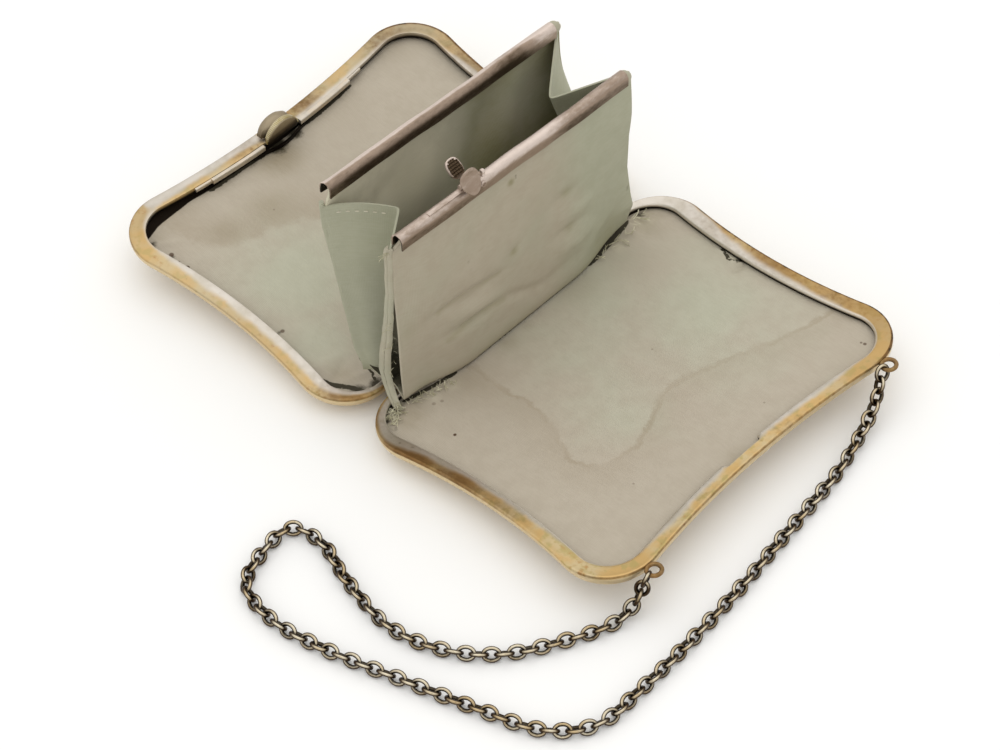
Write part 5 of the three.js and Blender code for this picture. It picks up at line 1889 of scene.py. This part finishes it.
chain_metal = chain_bronze()
chain_stops = [(*stop, FLOOR + CHAIN["lie"]) if len(stop) == 2 else stop for stop in CHAIN_PATH]
chain_line = spline(chain_stops, 16)
chain_length = np.linalg.norm(np.diff(chain_line, axis=0), axis=1).sum()
grown("chain_links", chain_line, link_tree(), "front", "chain_metal", ["chain"], crease=80)
print(f"chain path {chain_length:.0f} mm, about {chain_length / CHAIN['pitch']:.0f} links")

# %% [markdown]
# # Stitches and frayed threads
# A row of stitches holds the near gusset's hem. Where the old silk has torn, at the pocket's near foot, its
# far foot and the near end of the front channel, loose threads stand out. Each thread is one bent fibre,
# set at random along a short line with a fixed seed.

# %% Stitches
def stitch_tree():
    tree = Growth("hem_stitches", Pitch=1.5 * MM, Long=1.0 * MM, Thick=0.27 * MM)
    ball = tree.node("GeometryNodeMeshUVSphere", {}, {"Segments": 10, "Rings": 6, "Radius": 0.5})
    size = tree.triple(tree.size("Long"), tree.size("Thick"), tree.size("Thick"))
    stitch = tree.node("GeometryNodeTransform", {}, {0: ball, "Scale": size})
    return tree.end(tree.set_on(tree.spaced("Pitch"), stitch, Rotation=tree.turned_along()), thread)


def thread_finish():
    finish = Finish("silk_thread", Roughness=0.6, Specular_IOR_Level=0.3)
    cloud = finish.noise(finish.millimetres(), 2.5, 2)
    finish.set(Base_Color=finish.mix(cloud, tint(220, 216, 198), tint(188, 182, 160)))
    return finish.material


# The stitched stretch of the hem, as shares of the gusset's width and height, and how far its thread stands
# out.
HEM = {"from": 0.1, "to": 0.4, "height": 0.955, "out": (0.2, -0.16, 0), "steps": 40}
thread = thread_finish()
hem_u = np.linspace(HEM["from"], HEM["to"], HEM["steps"])
hem_line = gusset_surface(NEAR_GUSSET, hem_u, np.full(HEM["steps"], HEM["height"])) + HEM["out"]
grown("gusset_stitches", hem_line, stitch_tree(), "front", "pocket_silk", crease=80)

# %% Frayed threads
# Where threads stand out: two ends of a line, how far they stray from it, their number, length and width, and
# which way they head, in radians from +x, give or take a swing.
FRAYS = table(
    "from to stray count long wide heading swing",
    ((4.0, -36.0, -1.1), (6.4, -38.8, -1.2), 1.0, 60, 1.3, 0.09, 0.2, 2.8),
    ((5.2, -33.2, -0.8), (7.4, -23.0, -0.7), 0.6, 60, 1.0, 0.08, 0.8, 2.2),
    ((3.6, -34.9, 0.6), (5.2, -36.0, -0.9), 0.7, 26, 1.6, 0.06, -0.6, 1.2),
    ((6.4, 20.4, -0.7), (6.2, 25.6, -0.6), 0.6, 9, 2.1, 0.11, 0.7, 1.2),
    ((5.8, 26.6, -0.5), (6.8, 31.4, -0.5), 0.8, 11, 2.4, 0.11, 0.8, 1.3),
    ((4.6, 33.0, -0.5), (5.6, 37.0, -0.6), 0.9, 13, 2.4, 0.11, 0.6, 1.4),
    ((3.6, -34.7, 42.2), (5.4, -34.5, 44.8), 0.4, 16, 1.2, 0.05, -1.6, 1.2),
    ((2.4, -34.3, 8.0), (4.2, -34.3, 26.0), 0.5, 16, 1.6, 0.05, -1.4, 1.2),
)


def frayed_silk():
    finish = Finish("frayed_silk", Roughness=0.7, Specular_IOR_Level=0.15)
    cloud = finish.noise(finish.millimetres(), 1.6, 2)
    colour = finish.mix(finish.step(cloud, 0.35, 0.65), tint(204, 199, 172), tint(160, 155, 126))
    finish.set(Base_Color=colour)
    return finish.material


def fray_tree():
    tree = Growth(
        "frayed_threads", Count=8, Long=2.2 * MM, Thick=0.04 * MM, Wide=0.1 * MM, Stray=0.5 * MM, Heading=0.0,
        Swing=0.8, Seed=4,
    )
    seed, stray, long = tree.size("Seed"), tree.size("Stray"), tree.size("Long")
    aside = tree.triple(tree.give_or_take(stray, seed + 5.0), tree.give_or_take(stray, seed + 6.0), 0.0)
    places = tree.node("GeometryNodeSetPosition", {}, {0: tree.spaced("Count"), "Offset": aside})
    bend = {"Middle": tree.triple(long * 0.5, 0.0, long * 0.2), "End": tree.triple(long, long * 0.4, 0.0)}
    fibre = tree.node("GeometryNodeCurveQuadraticBezier", {}, {"Resolution": 8, "Start": (0, 0, 0), **bend})
    flat = tree.triple(tree.size("Wide") / tree.size("Thick"), 1.0, 1.0)
    profile = tree.node("GeometryNodeTransform", {}, {0: tree.circle(6, tree.size("Thick")), "Scale": flat})
    inputs = {"Curve": fibre, "Profile Curve": profile, "Fill Caps": True}
    fibre = tree.node("GeometryNodeCurveToMesh", {}, inputs)
    heading = tree.size("Heading") + tree.give_or_take(tree.size("Swing"), seed + 2.0)
    euler = tree.triple(tree.chance(-0.7, 0.7, seed), tree.chance(-0.35, 0.12, seed + 1.0), heading)
    turn = tree.node("FunctionNodeEulerToRotation", {}, {0: euler})
    scale = tree.chance(0.35, 1.25, seed + 3.0)
    return tree.end(tree.set_on(places, fibre, Rotation=turn, Scale=scale), frayed)


frayed = frayed_silk()
thread_tree = fray_tree()
for number, row in enumerate(FRAYS):
    line = np.linspace(row["from"], row["to"], 12)
    grown(
        f"frayed_threads_{number + 1}", line, thread_tree, "front", "pocket_silk", crease=80,
        Count=row["count"], Long=row["long"] * MM, Wide=row["wide"] * MM, Stray=row["stray"] * MM,
        Heading=row["heading"], Swing=row["swing"], Seed=11 + number,
    )
